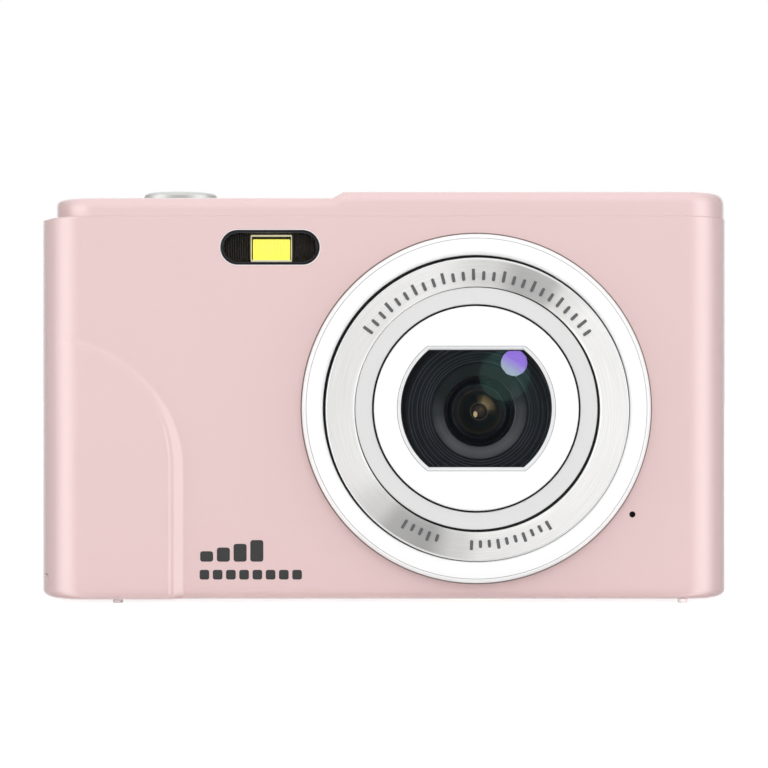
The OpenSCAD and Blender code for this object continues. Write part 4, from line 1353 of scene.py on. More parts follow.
    def baffle(self) -> Finish:
        """Dark baffle with a painted shade line and a painted highlight at each step, and a painted green
        reflection towards the upper right.
        """
        dark, plain, bright = (0.003, 0.004, 0.006), (0.020, 0.027, 0.038), (0.125, 0.145, 0.17)
        green, far = (0.018, 0.045, 0.036), (0.014, 0.026, 0.030)
        # Painted shade and highlight: a dark line and a bright line at each step.
        lines: list[tuple[float, Colour]] = []
        for r in (6.75, 7.1, 7.45, 7.85, 8.45, 9.1, 9.55):
            lines += [(r - 0.2, plain), (r - 0.1, dark), (r, bright), (r + 0.08, plain)]
        return ZonedFinish("baffle_black", dark, 0.5, specular=0.25, relief=0.1,
                           centre=self.middle(), reach=12.0,
                           zones=(*lines, (10.1, dark)),
                           # Painted reflection: a green sector with bright step lines, blended in towards the
                           # upper right.
                           painted_side_zones=((0.0, green), (6.7, green), (6.85, bright), (6.95, green),
                                       (7.9, green), (8.0, bright), (8.1, far), (10.0, dark)),
                           painted_side_fans=((0.0, 0.3), (0.04, 0.5), (0.1, 0.75), (0.22, 0.75), (0.3, 0.2),
                                      (0.5, 0.0), (0.9, 0.0), (1.0, 0.3)))

    def retainer(self) -> Finish:
        """Grey retainer with a painted lighter band round it, and painted shade with a dark green reflection
        over the top.
        """
        # Painted light: a lighter band at mid radius; the second set darkens the top as painted shade.
        light, mid = (0.36, 0.36, 0.37), (0.25, 0.255, 0.27)
        dark = (0.030, 0.046, 0.044)
        return ZonedFinish("retainer_metal", mid, 0.4, metallic=0.2, centre=self.middle(), reach=8.0,
                           zones=((0.0, mid), (4.9, mid), (5.6, light), (6.5, mid)),
                           painted_side_zones=((0.0, dark), (4.9, dark), (6.5, (0.045, 0.058, 0.058))),
                           painted_side_fans=((0.0, 0.5), (0.06, 0.85), (0.12, 1.0), (0.42, 1.0), (0.5, 0.75),
                                      (0.57, 0.3), (0.66, 0.0), (0.86, 0.0), (0.94, 0.25), (1.0, 0.5)))

    def coating(self) -> Finish:
        """Front glass: dark green and navy, with painted reflections: a brown ring, light rings and a small
        gold-toned pupil.
        """
        # Painted reflections: light and dark rings by radius in place of the coated glass mirroring the
        # studio.
        zones = ((0.0, (0.14, 0.10, 0.08)), (0.5, (0.10, 0.075, 0.07)), (0.9, (0.05, 0.04, 0.035)),
                 (1.02, (0.012, 0.012, 0.012)), (1.16, (0.14, 0.125, 0.10)), (1.32, (0.02, 0.022, 0.022)),
                 (2.1, (0.006, 0.014, 0.016)), (2.75, (0.018, 0.017, 0.012)), (2.92, (0.055, 0.04, 0.022)),
                 (3.1, (0.008, 0.014, 0.017)), (3.5, (0.006, 0.012, 0.018)), (3.62, (0.035, 0.05, 0.06)),
                 (3.75, (0.006, 0.012, 0.018)), (4.25, (0.006, 0.014, 0.018)), (4.4, (0.05, 0.09, 0.10)))
        # Painted reflection: a gold lobe towards the upper right, blended in by angle.
        warm_reflection = ((0.0, (0.20, 0.14, 0.09)), (0.5, (0.20, 0.14, 0.08)), (0.95, (0.05, 0.04, 0.03)),
                (1.2, (0.62, 0.48, 0.28)), (1.5, (0.50, 0.38, 0.18)), (2.1, (0.26, 0.20, 0.11)),
                (2.45, (0.012, 0.026, 0.024)), (3.3, (0.008, 0.036, 0.034)), (3.5, (0.02, 0.08, 0.075)),
                (3.7, (0.008, 0.036, 0.036)), (4.4, (0.03, 0.12, 0.12)))
        reflection_fans = ((0.0, 0.15), (0.04, 0.7), (0.09, 1.0), (0.19, 1.0), (0.24, 0.3), (0.3, 0.0), (0.94, 0.0),
                (1.0, 0.15))
        return ZonedFinish("coated_glass", (0.01, 0.015, 0.02), 0.12, specular=0.2, relief=0.0,
                           centre=self.middle(), reach=4.5, zones=zones, painted_side_zones=warm_reflection, painted_side_fans=reflection_fans)

    def middle(self) -> Pair:
        """Centre of the glass behind the cap."""
        return self.axis[0] + self.block_shift[0], self.axis[1] + self.block_shift[1]

    def build_marks(self) -> None:
        """Plain dashes along the brushed ring, in place of lettering."""
        high = self.face_y - self.dress.low.y - 0.14
        marks = Form()
        for start, end, radius, height, pitch in ((144.0, 35.0, 18.25, 2.0, 4.3),
                                                  (237.5, 252.5, 18.3, 1.7, 3.7),
                                                  (267.5, 301.5, 18.3, 1.7, 3.7)):
            count = round(abs(end - start) / pitch)
            for i in range(count + 1):
                angle = math.radians(start + (end - start) * i / count)
                tall = height if i % 3 == 0 else height * 0.62
                bar = Form.plate(rounded((0.0, 0.0), 0.42, tall, 0.2, 4), -0.03, 0.12)
                outwards = (height - tall) / 2
                turn = Matrix.Rotation(math.pi / 2 - angle, 4, "Y")
                place = Vector((self.axis[0] + self.ring_shift[0] + (radius - outwards) * math.cos(angle),
                                self.face_y - high,
                                self.axis[1] + self.ring_shift[1] + (radius - outwards) * math.sin(angle)))
                marks.join(bar.turn(Matrix.Translation(place) @ turn))
        marks.piece("ring_dashes", [self.finishes.ring_mark], "case", "baffle_black")


# Flash


@dataclass
class Flash:
    """The flash: a dark rim, a ribbed reflector, the lamp and a clear window."""

    finishes: Finishes
    window: Room = room_field("flash_window")
    lamp: Room = room_field("flash_lamp")
    rim: float = 0.26

    def pill(self, shrink: float) -> list[Pair]:
        """Outline of the window, smaller by shrink all round."""
        size = self.window.size
        width, height = size.x - 2 * shrink, size.z - 2 * shrink
        return rounded((self.window.centre.x, self.window.centre.z), width, height, height / 2 - 0.001, 16)

    def ring(self, outer: float, inner: float, front: float, back: float) -> Form:
        """A pill-shaped ring between two insets and two depths."""
        body = Form.plate(self.pill(outer), front, back, 0.05, 2)
        return body.carve(Form.plate(self.pill(inner), front - 1, back + 1))

    def build(self) -> None:
        """Make the rim, the inner line, the ribs, the strips, the lamp and the window."""
        face = self.window.low.y
        # Painted highlight: a pale ring round the window stands in for light on the hole's edge.
        edge = self.ring(-0.16, -0.05, face - 0.03, face + 0.6)
        edge.piece("flash_edge_highlight", [self.finishes.flash_edge_highlight], "case", "case_paint")
        rim = self.ring(-0.04, self.rim, face - 0.02, face + 0.9)
        rim.piece("flash_rim", [self.finishes.flash_rim], "case", "flash_lens")
        line = self.ring(self.rim - 0.02, self.rim + 0.07, face + 0.08, face + 0.9)
        line.piece("flash_line", [self.finishes.flash_line], "case", "flash_lens")
        self.build_reflector(face)
        pane = Form.plate(self.pill(self.rim + 0.02), face + 0.12, face + 0.6, 0.06, 2)
        pane.piece("flash_pane", [self.finishes.flash_glass], "case", "flash_lens", ["flash_window"])

    def build_reflector(self, face: float) -> None:
        """Ribbed back of the flash, the lamp, and glowing strips round it as a painted reflection of the lamp
        in the window's edges.

        Args:
            face: Y of the window's face.
        """
        centre, lamp = self.window.centre, self.lamp
        tray = Form.plate(self.pill(0.1), face + 0.9, face + 3.4)
        tray.carve(Form.plate(self.pill(self.rim), face - 1, face + 2.6))
        ribs = Form()
        half = self.window.size.x / 2 - 0.9
        for i in range(-19, 20):
            x = centre.x + i * 0.31
            if abs(x - centre.x) > half or lamp.low.x - 0.25 < x < lamp.high.x + 0.25:
                continue
            reach = math.sqrt(max(0.0, 1.75 ** 2 - max(0.0, abs(x - centre.x) - half + 1.1) ** 2))
            ribs.join(Form.block((x - 0.075, face + 1.7, centre.z - reach),
                                 (x + 0.075, face + 2.7, centre.z + reach)))
        tray.join(ribs)
        tray.piece("reflector_tray", [self.finishes.reflector], "case", "baffle_black", ["flash_reflector"])
        bulb = Form.block((lamp.low.x, face + 1.5, lamp.low.z), (lamp.high.x, lamp.high.y, lamp.high.z), 0.12)
        bulb.piece("lamp_block", [self.finishes.lamp], "case", "lamp_yellow", ["flash_lamp"])
        # Painted reflection: glowing strips round the lamp in place of its image in the window's edges.
        trim = Form()
        for z, tall in ((centre.z + 1.62, 0.22), (centre.z - 1.78, 0.26)):
            trim.join(Form.block((lamp.low.x - 0.25, face + 1.1, z - tall / 2),
                                 (lamp.high.x + 0.25, face + 1.6, z + tall / 2), 0.05))
        for x in (lamp.low.x - 0.22, lamp.high.x + 0.22):
            trim.join(Form.block((x - 0.06, face + 1.1, centre.z - 1.7),
                                 (x + 0.06, face + 1.6, centre.z + 1.6), 0.02))
        trim.piece("lamp_reflection_strips", [self.finishes.lamp_reflection], "case", "flash_lens")


# Buttons and fittings


@dataclass
class TopButtons:
    """Shutter button and power button."""

    finishes: Finishes
    flange_low: float = 52.7
    flange_high: float = 53.3

    def build(self) -> None:
        """Turn both buttons."""
        room = Room.of("shutter_button")
        top, r = room.high.z, room.size.x / 2 - 0.6
        low, high = self.flange_low, self.flange_high
        profile = [(0.0, room.low.z), (1.4, room.low.z), (1.4, low), (r + 0.6, low), (r + 0.6, high),
                   (r, high), (r, top - 0.8), (r - 0.05, top - 0.6), (r - 0.2, top - 0.42),
                   (r - 0.5, top - 0.28), (r - 1.0, top - 0.2), (r - 2.0, top - 0.15), (0.0, top - 0.1)]
        self.turn(profile, room, "shutter_cap", "shutter_button")
        room = Room.of("power_button")
        top = room.high.z
        profile = [(0.0, room.low.z), (1.0, room.low.z), (1.0, low + 0.1), (3.5, low + 0.1), (3.5, high),
                   (3.0, high), (3.0, top - 0.2), (2.93, top - 0.08), (2.8, top), (1.9, top - 0.02),
                   (1.6, top - 0.1), (0.0, top - 0.1)]
        self.turn(profile, room, "power_cap", "power_button")

    def turn(self, profile: Sequence[Pair], room: Room, name: str, node: str) -> None:
        """Spin one button in its place.

        Args:
            profile: Half section of the button.
            room: Space of its CAD node.
            name: Name of the piece.
            node: CAD node and body.
        """
        form = Form.lathe(profile, 96)
        form.turn(Matrix.Translation((room.centre.x, room.centre.y, 0)))
        form.piece(name, [self.finishes.chrome], node, "button_chrome", [node])


@dataclass
class RearControls:
    """Display, zoom rocker, keys and status lamp on the back."""

    finishes: Finishes
    back_y: float
    sector_outer: float = 8.6
    sector_inner: float = 4.4
    sector_half: float = 36.0

    def build(self) -> None:
        """Make every control on the back."""
        self.build_display()
        self.build_rocker()
        for node, symbol in (("play_button", self.triangle(1.0, 180)), ("menu_button", self.lines()),
                             ("delete_button", self.bin()), ("mode_button", self.frame_symbol())):
            self.build_round(node, 0.35, symbol)
        self.build_round("ok_key", 0.4, self.dot())
        for node in ("up_key", "down_key", "right_key", "left_key"):
            self.build_sector(node)
        lamp = Room.of("status_lamp")
        dome = Form.lathe([(0.0, -0.7), (0.58, -0.7), (0.58, -0.12), (0.5, -0.03), (0.3, 0.0), (0.0, 0.02)],
                          32)
        dome.turn(Matrix.Translation((lamp.centre.x, lamp.high.y, lamp.centre.z))
                  @ Matrix.Rotation(-math.pi / 2, 4, "X"))
        dome.piece("status_dome", [self.finishes.amber], "case", "lamp_amber", ["status_lamp"])

    def build_display(self) -> None:
        """Display window: black glass with a soft edge, a printed frame and the screen under it."""
        room = Room.of("display_window")
        middle, size = (room.centre.x, room.centre.z), room.size
        pane = Form.plate(rounded(middle, size.x, size.z, 0.9, 8), room.low.y, room.high.y - 0.02)
        rim = max(pane.bm.faces, key=lambda f: f.calc_center_median().y)
        pane.bevel(list(rim.edges), 0.25, 3)
        pane.carve(Form.plate(rounded(middle, size.x - 4.0, size.z - 5.0, 0.5, 4), room.high.y - 0.06,
                              room.high.y + 1))
        pane.piece("display_pane", [self.finishes.glass_black], "case", "display_glass", ["display_window"])
        screen = Form.plate(rounded(middle, size.x - 4.04, size.z - 5.04, 0.5, 4), room.high.y - 0.5,
                            room.high.y - 0.03)
        screen.piece("display_screen", [self.finishes.display], "case", "display_glass")

    def symbol_plate(self, outline: Sequence[Pair], top: float) -> Form:
        """Thin printed shape whose face is at top."""
        return Form.plate(outline, top, top - 0.1).mark(1, lambda f: True)

    def triangle(self, size: float, turn: float) -> list[list[Pair]]:
        """A solid triangle that points along turn degrees."""
        return [arc((0.0, 0.0), size, turn, turn + 240, 2)]

    def lines(self) -> list[list[Pair]]:
        """Three short lines."""
        return [rounded((0.0, z), 1.9, 0.3, 0.14, 3) for z in (-0.62, 0.0, 0.62)]

    def bin(self) -> list[list[Pair]]:
        """A lidded bin."""
        return [[(-0.6, 0.35), (-0.45, -0.95), (0.45, -0.95), (0.6, 0.35)],
                rounded((0.0, 0.65), 1.7, 0.26, 0.12, 3),
                rounded((0.0, 0.9), 0.6, 0.22, 0.1, 3)]

    def frame_symbol(self) -> list[list[Pair]]:
        """Two stacked bars and a dot, for the picture modes."""
        return [rounded((0.0, 0.55), 1.9, 0.5, 0.16, 3), rounded((-0.45, -0.4), 1.0, 0.9, 0.16, 3),
                disc((0.62, -0.4), 0.34, 16)]

    def dot(self) -> list[list[Pair]]:
        """A dot."""
        return [disc((0.0, 0.0), 0.55, 24)]

    def build_round(self, node: str, dish: float, symbol: list[list[Pair]]) -> None:
        """Round key with a rim, a shallow dish and its symbol.

        Args:
            node: CAD node of the key.
            dish: Width of the rim's slope.
            symbol: Outlines of the symbol about the key's middle.
        """
        room = Room.of(node)
        r, top, low = room.size.x / 2 - 0.5, room.high.y, room.low.y
        profile = [(0.0, low), (r + 0.5, low), (r + 0.5, low + 0.5), (r, low + 0.5), (r, top - 0.3),
                   (r - 0.08, top - 0.12), (r - 0.24, top - 0.02), (r - dish, top),
                   (r - dish - 0.3, top - 0.06), (0.0, top - 0.1)]
        key = Form.lathe(profile, 64)
        place = Matrix.Translation((room.centre.x, 0, room.centre.z))
        key.turn(Matrix.Rotation(-math.pi / 2, 4, "X"))
        for outline in symbol:
            key.join(self.symbol_plate(outline, top - 0.06))
        key.turn(place).piece(f"{node}_cap", [self.finishes.key, self.finishes.icon], node, "key_silver",
                              [node])

    def sector(self, grow: float, outer_turn: float, inner_turn: float) -> list[Pair]:
        """Outline of a direction key that points along +X.

        Args:
            grow: How far its round edges move away from the key.
            outer_turn: How far its outer corners turn away, in degrees.
            inner_turn: How far its inner corners turn away, in degrees.

        Returns:
            The points about the middle of the keys.
        """
        outer, inner = self.sector_half + outer_turn, self.sector_half + inner_turn
        return (arc((0.0, 0.0), self.sector_outer + grow, -outer, outer, 14)
                + arc((0.0, 0.0), self.sector_inner - grow, inner, -inner, 10))

    def build_sector(self, node: str) -> None:
        """One of the four direction keys, with its arrow.

        Args:
            node: CAD node of the key.
        """
        ok, room = Room.of("ok_key"), Room.of(node)
        top, low = room.high.y, room.low.y
        key = Form.plate(self.sector(0.0, 0.0, 0.0), top - 0.05, low + 0.4, 0.35, 4)
        key.join(Form.plate(self.sector(0.35, 2.0, 4.0), low + 0.5, low))
        arrow = [(x + 6.5, z) for x, z in self.triangle(0.75, 0)[0]]
        key.join(self.symbol_plate(arrow, top - 0.02))
        turn = math.atan2(room.centre.z - ok.centre.z, room.centre.x - ok.centre.x)
        key.turn(Matrix.Rotation(-turn, 4, "Y"))
        key.turn(Matrix.Translation((ok.centre.x, 0, ok.centre.z)))
        key.piece(f"{node}_cap", [self.finishes.key, self.finishes.icon], node, "key_silver", [node])

    def build_rocker(self) -> None:
        """Zoom rocker: a long key with finger ridges at both ends, and its saddle on the pin."""
        room = Room.of("zoom_rocker")
        middle, top = (room.centre.x, room.centre.z), room.high.y
        rocker = Form.plate(rounded(middle, room.size.x, room.size.z, 2.0, 8), top - 0.05, 9.75, 0.4, 4)
        saddle = Form.block((middle[0] - 1.3, room.low.y, middle[1] - 2.3),
                            (middle[0] + 1.3, 9.9, middle[1] + 2.3))
        pin = Vector((middle[0], 9.6, middle[1]))
        saddle.carve(Form.rod(pin - Vector((0, 0, 4)), pin + Vector((0, 0, 4)), 0.56, 32))
        ridges = [Form.block((middle[0] + side * (5.6 - 0.8 * i) - 0.18, top - 0.4, middle[1] - 1.2),
                             (middle[0] + side * (5.6 - 0.8 * i) + 0.18, top, middle[1] + 1.2), 0.1)
                  for side in (-1, 1) for i in range(3)]
        symbols = [rounded((middle[0] - 2.4, middle[1]), 1.3, 0.28, 0.13, 3),
                   rounded((middle[0] + 2.4, middle[1]), 1.3, 0.28, 0.13, 3),
                   rounded((middle[0] + 2.4, middle[1]), 0.28, 1.3, 0.13, 3)]
        rocker.join(saddle, *ridges, *(self.symbol_plate(outline, top - 0.035) for outline in symbols))
        rocker.piece("rocker_cap", [self.finishes.key, self.finishes.icon], "zoom_rocker", "key_silver",
                     ["zoom_rocker"])

    def holes(self) -> Form:
        """Everything that the controls need cut out of the rear cover."""
        window, back = Room.of("display_window"), self.back_y + 1
        middle, size = (window.centre.x, window.centre.z), window.size
        cut = Form.plate(rounded(middle, size.x + 0.16, size.z + 0.16, 0.95, 8), back, window.low.y)
        cut.join(Form.plate(rounded(middle, size.x - 4, size.z - 4.4, 0.5, 4), window.low.y, 5.0))
        for node in ("play_button", "menu_button", "delete_button", "mode_button", "ok_key"):
            room = Room.of(node)
            radius = room.size.x / 2 - 0.3
            cut.join(Form.plate(disc((room.centre.x, room.centre.z), radius, 64), back, 9.0))
        ok = Room.of("ok_key")
        for turn in (0, 90, 180, 270):
            hole = Form.plate(self.sector(0.2, 1.4, 2.8), back, 9.0)
            hole.turn(Matrix.Rotation(-math.radians(turn), 4, "Y"))
            cut.join(hole.turn(Matrix.Translation((ok.centre.x, 0, ok.centre.z))))
        rocker, lamp = Room.of("zoom_rocker"), Room.of("status_lamp")
        middle, size = (rocker.centre.x, rocker.centre.z), rocker.size
        outline = rounded(middle, size.x + 0.6, size.z + 0.6, 2.2, 8)
        cut.join(Form.plate(outline, back, 9.0))
        return cut.join(Form.plate(disc((lamp.centre.x, lamp.centre.z), 0.65, 32), back, 9.0))


@dataclass
class Fittings:
    """Screws, feet and the threaded tripod insert."""

    finishes: Finishes
    shells: CaseShells
    bottom_screws: tuple[float, float] = (22.0, 38.0)
    side_screws: tuple[float, float] = (46.0, 10.5)
    screw_y: float = 5.2
    side_y: float = 4.0
    thread_pitch: float = 1.27
    speaker_holes: int = 4
    speaker_pitch: float = 1.73

    def seats(self) -> list[Matrix]:
        """Places of the four screws, with +Z out of the case and zero at the case's surface."""
        down = Matrix.Rotation(math.pi, 4, "X")
        base = [Matrix.Translation((x, self.screw_y, self.shells.base_z)) @ down for x in self.bottom_screws]
        plan = self.shells.plan
        left = Matrix.Translation((plan.left + 0.25, self.side_y, self.side_screws[0]))
        right = Matrix.Translation((plan.right - 0.25, self.side_y, self.side_screws[1]))
        return [*base, left @ Matrix.Rotation(-math.pi / 2, 4, "Y"),
                right @ Matrix.Rotation(math.pi / 2, 4, "Y")]

    def build(self) -> None:
        """Make the screws, feet and insert."""
        screws = Form()
        for seat in self.seats():
            screws.join(self.screw().turn(seat))
        screws.piece("cover_screws", [self.finishes.steel], "case", "steel", ["case_screws"])
        self.build_feet()
        self.build_insert()

    def screw(self) -> Form:
        """Cross-head screw whose head is just below the surface."""
        head = Form.lathe([(0.0, -3.4), (0.45, -3.4), (0.62, -3.1), (0.62, -0.6), (1.26, -0.6), (1.3, -0.45),
                           (1.18, -0.2), (0.8, -0.08), (0.0, -0.05)], 48)
        for turn in (0, 90):
            slot = Form.block((-0.75, -0.13, -0.45), (0.75, 0.13, 0.5), 0.03)
            head.carve(slot.turn(Matrix.Rotation(math.radians(turn + 20), 4, "Z")))
        return head

    def counterbores(self, chosen: Sequence[Matrix]) -> Form:
        """Recesses that the screw heads sit in.

        Args:
            chosen: Places of the screws.

        Returns:
            The cutters.
        """
        cut = Form()
        for seat in chosen:
            bore = Form.lathe([(0.0, -3.5), (0.75, -3.5), (0.75, -0.6), (1.42, -0.6), (1.42, 1.5),
                               (0.0, 1.5)], 48)
            cut.join(bore.turn(seat))
        return cut

    def build_feet(self) -> None:
        """Four small feet with rounded ends."""
        room = Room.of("feet")
        r = 0.65
        feet = Form()
        for x in (room.low.x + r, room.high.x - r):
            for y in (room.low.y + r, room.high.y - r):
                foot = Form.lathe([(0.0, room.high.z + 0.1), (r, room.high.z + 0.1), (r, 0.16),
                                   (r - 0.06, 0.05), (r - 0.18, 0.0), (0.0, 0.0)], 40)
                feet.join(foot.turn(Matrix.Translation((x, y, 0))))
        feet.piece("foot_nubs", [self.finishes.rubber], "case", "foot_rubber", ["feet"])

    def build_insert(self) -> None:
        """Brass tripod insert with a real screw thread."""
        room = Room.of("tripod_socket")
        low, minor, major = room.low.z + 0.02, 2.6, 3.12
        sleeve = Form.lathe([(0.0, 6.2), (major, 6.2), (major, low), (major + 0.25, low), (4.1, low),
                             (4.42, low + 0.08), (4.5, low + 0.25), (4.5, 7.0), (0.0, 7.0)], 96)
        thread = Form()
        half = self.thread_pitch * 0.42
        points = ((major + 0.02, -half), (minor, -0.08), (minor, 0.08), (major + 0.02, half))
        ring = [thread.bm.verts.new((r, 0, low + half + 0.12 + z)) for r, z in points]
        section = thread.bm.faces.new(ring)
        turns, per_turn = 3.9, 40
        count = round(turns * per_turn)
        bmesh.ops.spin(thread.bm, geom=[section, *section.edges, *section.verts], cent=(0, 0, 0),
                       axis=(0, 0, 1),
                       dvec=(0, 0, self.thread_pitch / per_turn), angle=math.tau * turns, steps=count,
                       use_merge=False)
        thread.weld()
        sleeve.outward().join(thread).turn(Matrix.Translation((room.centre.x, room.centre.y, 0)))
        sleeve.piece("tripod_insert", [self.finishes.brass], "case", "brass_insert", ["tripod_socket"])

    def shared_holes(self) -> Form:
        """Holes that both covers share along the parting line: the insert's and the speaker's."""
        room, speaker = Room.of("tripod_socket"), Room.of("speaker")
        mid_y = self.shells.plan.mid_y
        cut = Form.rod(Vector((room.centre.x, mid_y, -1)), Vector((room.centre.x, mid_y, 3)), 4.56, 96)
        for i in range(self.speaker_holes):
            z = speaker.centre.z + (i - (self.speaker_holes - 1) / 2) * self.speaker_pitch
            cut.join(Form.rod(Vector((43, mid_y, z)), Vector((49, mid_y, z)), 0.39, 24))
        return cut

    def strap_room(self) -> Form:
        """Opening round the strap bar."""
        bar = Room.of("strap_bar")
        return Form.side_plate(rounded((bar.centre.y, bar.centre.z), 4.2, 6.4, 0.7), -49.0, -41.0)


@dataclass
class FrontMarks:
    """Plain bars low on the front, in place of lettering, and the microphone hole."""

    finishes: Finishes
    face_y: float
    left: float = -24.9
    top: float = 8.6

    def build(self) -> None:
        """Print the bars and sink the microphone hole."""
        form = Form()
        for i, tall in enumerate((1.4, 1.9, 2.4, 2.9)):
            x = self.left + 1.05 + 2.25 * i
            bar = rounded((x, self.top - 2.95 + tall / 2), 1.75, tall, 0.35)
            form.join(Form.plate(bar, self.face_y - 0.012, self.face_y + 0.1))
        for i in range(8):
            x = self.left + 0.75 + 1.78 * i
            bar = rounded((x, self.top - 4.7), 1.3, 1.3, 0.3)
            form.join(Form.plate(bar, self.face_y - 0.012, self.face_y + 0.1))
        form.piece("front_bars", [self.finishes.mark], "case", "baffle_black")
        mic = Room.of("microphone")
        plug = Form.lathe([(0.0, 0.5), (0.3, 0.45), (0.41, 0.35), (0.41, 1.1), (0.0, 1.1)], 32)
        place = Matrix.Translation((mic.centre.x, self.face_y, mic.centre.z))
        plug.turn(place @ Matrix.Rotation(-math.pi / 2, 4, "X"))
        plug.piece("microphone_mesh", [self.finishes.hole], "case", "baffle_black")

    def microphone_hole(self) -> Form:
        """Cutter for the hole in front of the microphone."""
        mic = Room.of("microphone").centre
        return Form.rod(Vector((mic.x, self.face_y - 3, mic.z)), Vector((mic.x, self.face_y + 3, mic.z)),
                        0.42, 32)


# Inner parts that keep their CAD shape


def dress_cad_nodes(finishes: Finishes) -> None:
    """Give every CAD node that is still shown its own finish.

    Args:
        finishes: Every finish of the camera.
    """
    groups = {
        "bay": "lens_barrel battery_bay", "hole": "aperture_plate", "filter_glass": "ir_filter",
        "sensor": "rear_element image_sensor", "cone": "speaker", "display": "display_panel",
        "board": "sensor_board flash_board main_board key_board top_switches", "wrap": "battery",
        "steel": "microphone chassis board_parts key_domes card_socket usb_port strap_bar case_screws "
                 "hinge_pins",
        "gold": "battery_contacts", "card": "memory_card", "brass": "tripod_socket", "rubber": "feet",
        "amber": "status_lamp", "spring": "shutter_spring", "glass_black": "display_window",
    }
    chosen = {node: getattr(finishes, label) for label, nodes in groups.items() for node in nodes.split()}
    for name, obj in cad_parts.items():
        finish = chosen.get(name, finishes.key)
        for place in obj.material_slots:
            place.material = finish.material()
        if not obj.material_slots:
            obj.data.materials.append(finish.material())
        LOG.info("%s keeps its shape, in %s", name, finish.name)


# Studio


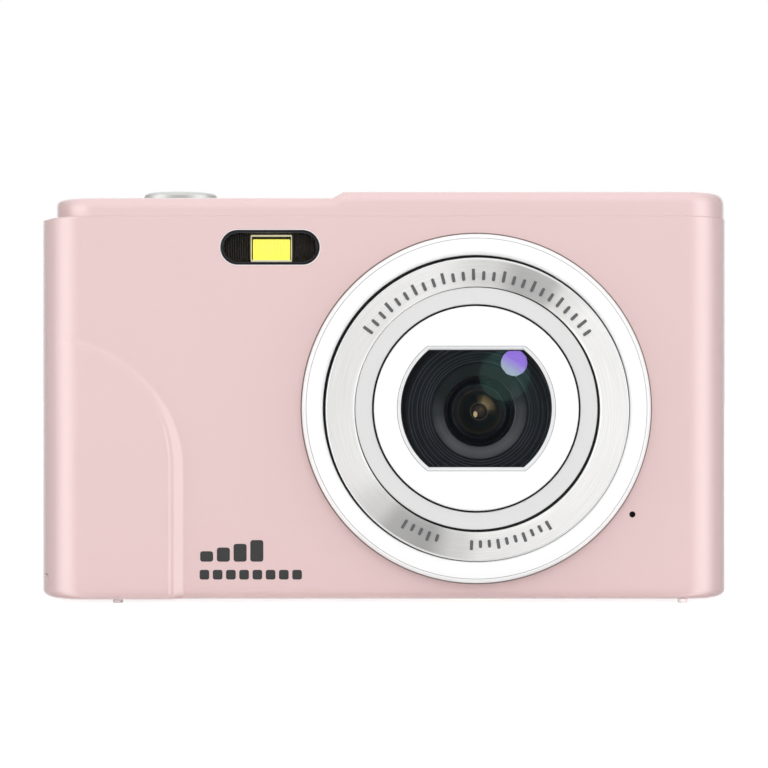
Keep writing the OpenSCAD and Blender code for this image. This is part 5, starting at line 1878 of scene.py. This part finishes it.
@dataclass
class Studio:
    """Pale floor, lit room, two small screens and the camera."""

    eye: tuple[float, float, float] = (0.0, -368.6, 29.54)
    focal: float = 125.5
    sensor: float = 36.0
    floor_reach: float = 4000.0
    screen_y: float = -369.0

    def build(self) -> None:
        """Set up the whole studio."""
        bpy.context.scene.view_settings.view_transform = "Standard"
        self.place_camera()
        self.lay_floor()
        self.light_world()
        self.hang_screens()

    def place_camera(self) -> None:
        """Camera level with the middle of the case, straight in front of it."""
        data = bpy.data.cameras.new("view")
        data.lens, data.sensor_width = self.focal, self.sensor
        data.clip_start, data.clip_end = 0.01, 20.0
        camera = bpy.data.objects.new("view", data)
        camera.location = [c * MM for c in self.eye]
        camera.rotation_euler = (math.pi / 2, 0, 0)
        bpy.context.scene.collection.objects.link(camera)
        bpy.context.scene.camera = camera

    def lay_floor(self) -> None:
        """Large pale floor."""
        paint, recipe = new_paint("floor_white")
        shader = paint.node_tree.nodes["Principled BSDF"]
        shader.inputs["Base Color"].default_value = (0.9, 0.9, 0.9, 1)
        shader.inputs["Roughness"].default_value = 0.9
        path = recipe.node("ShaderNodeLightPath")
        glow = recipe.node("ShaderNodeEmission")
        recipe.feed(glow.inputs["Strength"], recipe.math("MULTIPLY", path.outputs["Is Camera Ray"], 0.8))
        both = recipe.node("ShaderNodeAddShader")
        recipe.feed(both.inputs[0], shader.outputs[0])
        recipe.feed(both.inputs[1], glow.outputs[0])
        clear = recipe.node("ShaderNodeBsdfTransparent")
        choice = recipe.node("ShaderNodeMixShader")
        below = recipe.node("ShaderNodeNewGeometry").outputs["Backfacing"]
        recipe.feed(choice.inputs[0], recipe.math("MAXIMUM", path.outputs["Is Glossy Ray"], below))
        recipe.feed(choice.inputs[1], both.outputs[0])
        recipe.feed(choice.inputs[2], clear.outputs[0])
        recipe.feed(paint.node_tree.nodes["Material Output"].inputs["Surface"], choice.outputs[0])
        form = Form()
        bmesh.ops.create_grid(form.bm, x_segments=4, y_segments=4, size=self.floor_reach)
        form.placed("floor", [paint])

    def light_world(self) -> None:
        """White background, and a soft room that is brighter at both sides than behind."""
        world = bpy.data.worlds.new("room")
        world.use_nodes = True
        bpy.context.scene.world = world
        recipe = Recipe(world.node_tree)
        parts = recipe.node("ShaderNodeSeparateXYZ")
        recipe.feed(parts.inputs[0], recipe.node("ShaderNodeTexCoord").outputs["Generated"])
        x, y = parts.outputs[0], parts.outputs[1]
        side = recipe.math("ABSOLUTE", x)
        ahead = recipe.math("MULTIPLY", y, -1.0)
        angle = recipe.math("DIVIDE", recipe.math("ARCTAN2", side, ahead), math.pi)
        overhead = recipe.span(parts.outputs[2], 0.35, 0.75, 0.0, 1.0)
        shade = self.steps_of(recipe, angle,
                              ((0.0, 3.0), (0.06, 2.6), (0.13, 1.55), (0.22, 1.04), (0.34, 0.83),
                               (0.48, 0.74), (0.6, 0.45), (0.75, 0.5), (1.0, 0.85)))
        shade = recipe.mix(overhead, shade, (0.9, 0.9, 0.9))
        strips = self.steps_of(recipe, angle,
                               ((0.0, 0.25), (0.14, 0.25), (0.21, 0.8), (0.30, 2.3), (0.38, 2.8), (0.46, 2.5),
                                (0.54, 1.1), (0.62, 0.12), (0.8, 0.3), (0.9, 0.9), (1.0, 1.3)))
        strips = recipe.mix(overhead, strips, (1.0, 1.0, 1.0))
        facing = recipe.span(ahead, 0.86, 0.95, 0.0, 1.0)
        mirrored = recipe.mix(facing, strips, (0.05, 0.05, 0.055))
        path = recipe.node("ShaderNodeLightPath")
        light = recipe.mix(path.outputs["Is Diffuse Ray"], mirrored, shade)
        ground = world.node_tree.nodes["Background"]
        recipe.feed(ground.inputs["Color"], recipe.mix(path.outputs["Is Camera Ray"], light, (1.0, 1.0, 1.0)))
        ground.inputs["Strength"].default_value = 1.0

    @staticmethod
    def steps_of(recipe: Recipe, angle: object, stops: Sequence[Pair]) -> bpy.types.NodeSocket:
        """Grey ramp over the angle from the front."""
        return recipe.ramp(angle, [(place, (level,) * 3) for place, level in stops], True)

    def hang_screens(self) -> None:
        """Two round screens beside the viewer, which the lens window mirrors as a violet and a green spot."""
        for name, place, radius, level, low, high in (
                ("violet_screen", (35.0, 35.2), 3.5, 11.0, (0.50, 0.62, 0.72), (0.42, 0.25, 1.0)),
                ("green_screen", (32.6, 31.8), 6.8, 0.5, (0.55, 0.9, 0.72), (0.4, 0.9, 0.8))):
            paint, recipe = new_paint(name)
            parts = recipe.node("ShaderNodeSeparateXYZ")
            recipe.feed(parts.inputs[0], recipe.centred((place[0], 0, place[1])))
            across = recipe.math("ADD", recipe.math("MULTIPLY", parts.outputs[0], 0.6), parts.outputs[2])
            share = recipe.span(across, -0.9 * radius * MM, 0.3 * radius * MM, 0.0, 1.0)
            glow = recipe.node("ShaderNodeEmission")
            recipe.feed(glow.inputs["Color"], recipe.mix(share, low, high))
            glow.inputs["Strength"].default_value = level
            recipe.feed(paint.node_tree.nodes["Material Output"].inputs["Surface"], glow.outputs[0])
            back = self.screen_y - radius
            Form.plate(disc(place, radius, 64), back - 1.0, back).placed(name, [paint])


def main() -> None:
    """Build every sub-assembly in order."""
    logging.basicConfig(level=logging.INFO, format="%(message)s")
    Studio().build()
    finishes = Finishes()
    shells = CaseShells(finishes)
    panels = CasePanels(shells)
    lens = Lens(finishes, shells.face_y)
    flash = Flash(finishes)
    controls = RearControls(finishes, shells.back_y)
    fittings = Fittings(finishes, shells)
    marks = FrontMarks(finishes, shells.face_y)
    front_holes = Form.rod(lens.on_axis(-12), lens.on_axis(-5), 15.2, 96)
    front_holes.join(Form.plate(flash.pill(-0.17), -12, -5), panels.door_room(panels.gap, panels.door_reach),
                     fittings.shared_holes(), marks.microphone_hole())
    rear_holes = panels.door_room(panels.gap, panels.door_reach)
    rear_holes.join(panels.usb_room(panels.gap, panels.usb_clear), fittings.shared_holes(),
                    fittings.strap_room(), controls.holes(), fittings.counterbores(fittings.seats()))
    shells.build_front(front_holes)
    shells.build_rear(rear_holes)
    for build in (shells.build_top, panels.build_door, panels.build_latch, panels.build_usb_cover,
                  lens.build_rings, lens.build_cap, lens.build_inside, lens.build_window, lens.build_marks,
                  flash.build, TopButtons(finishes).build, controls.build, fittings.build, marks.build):
        build()
    dress_cad_nodes(finishes)


if __name__ == "__main__":
    main()
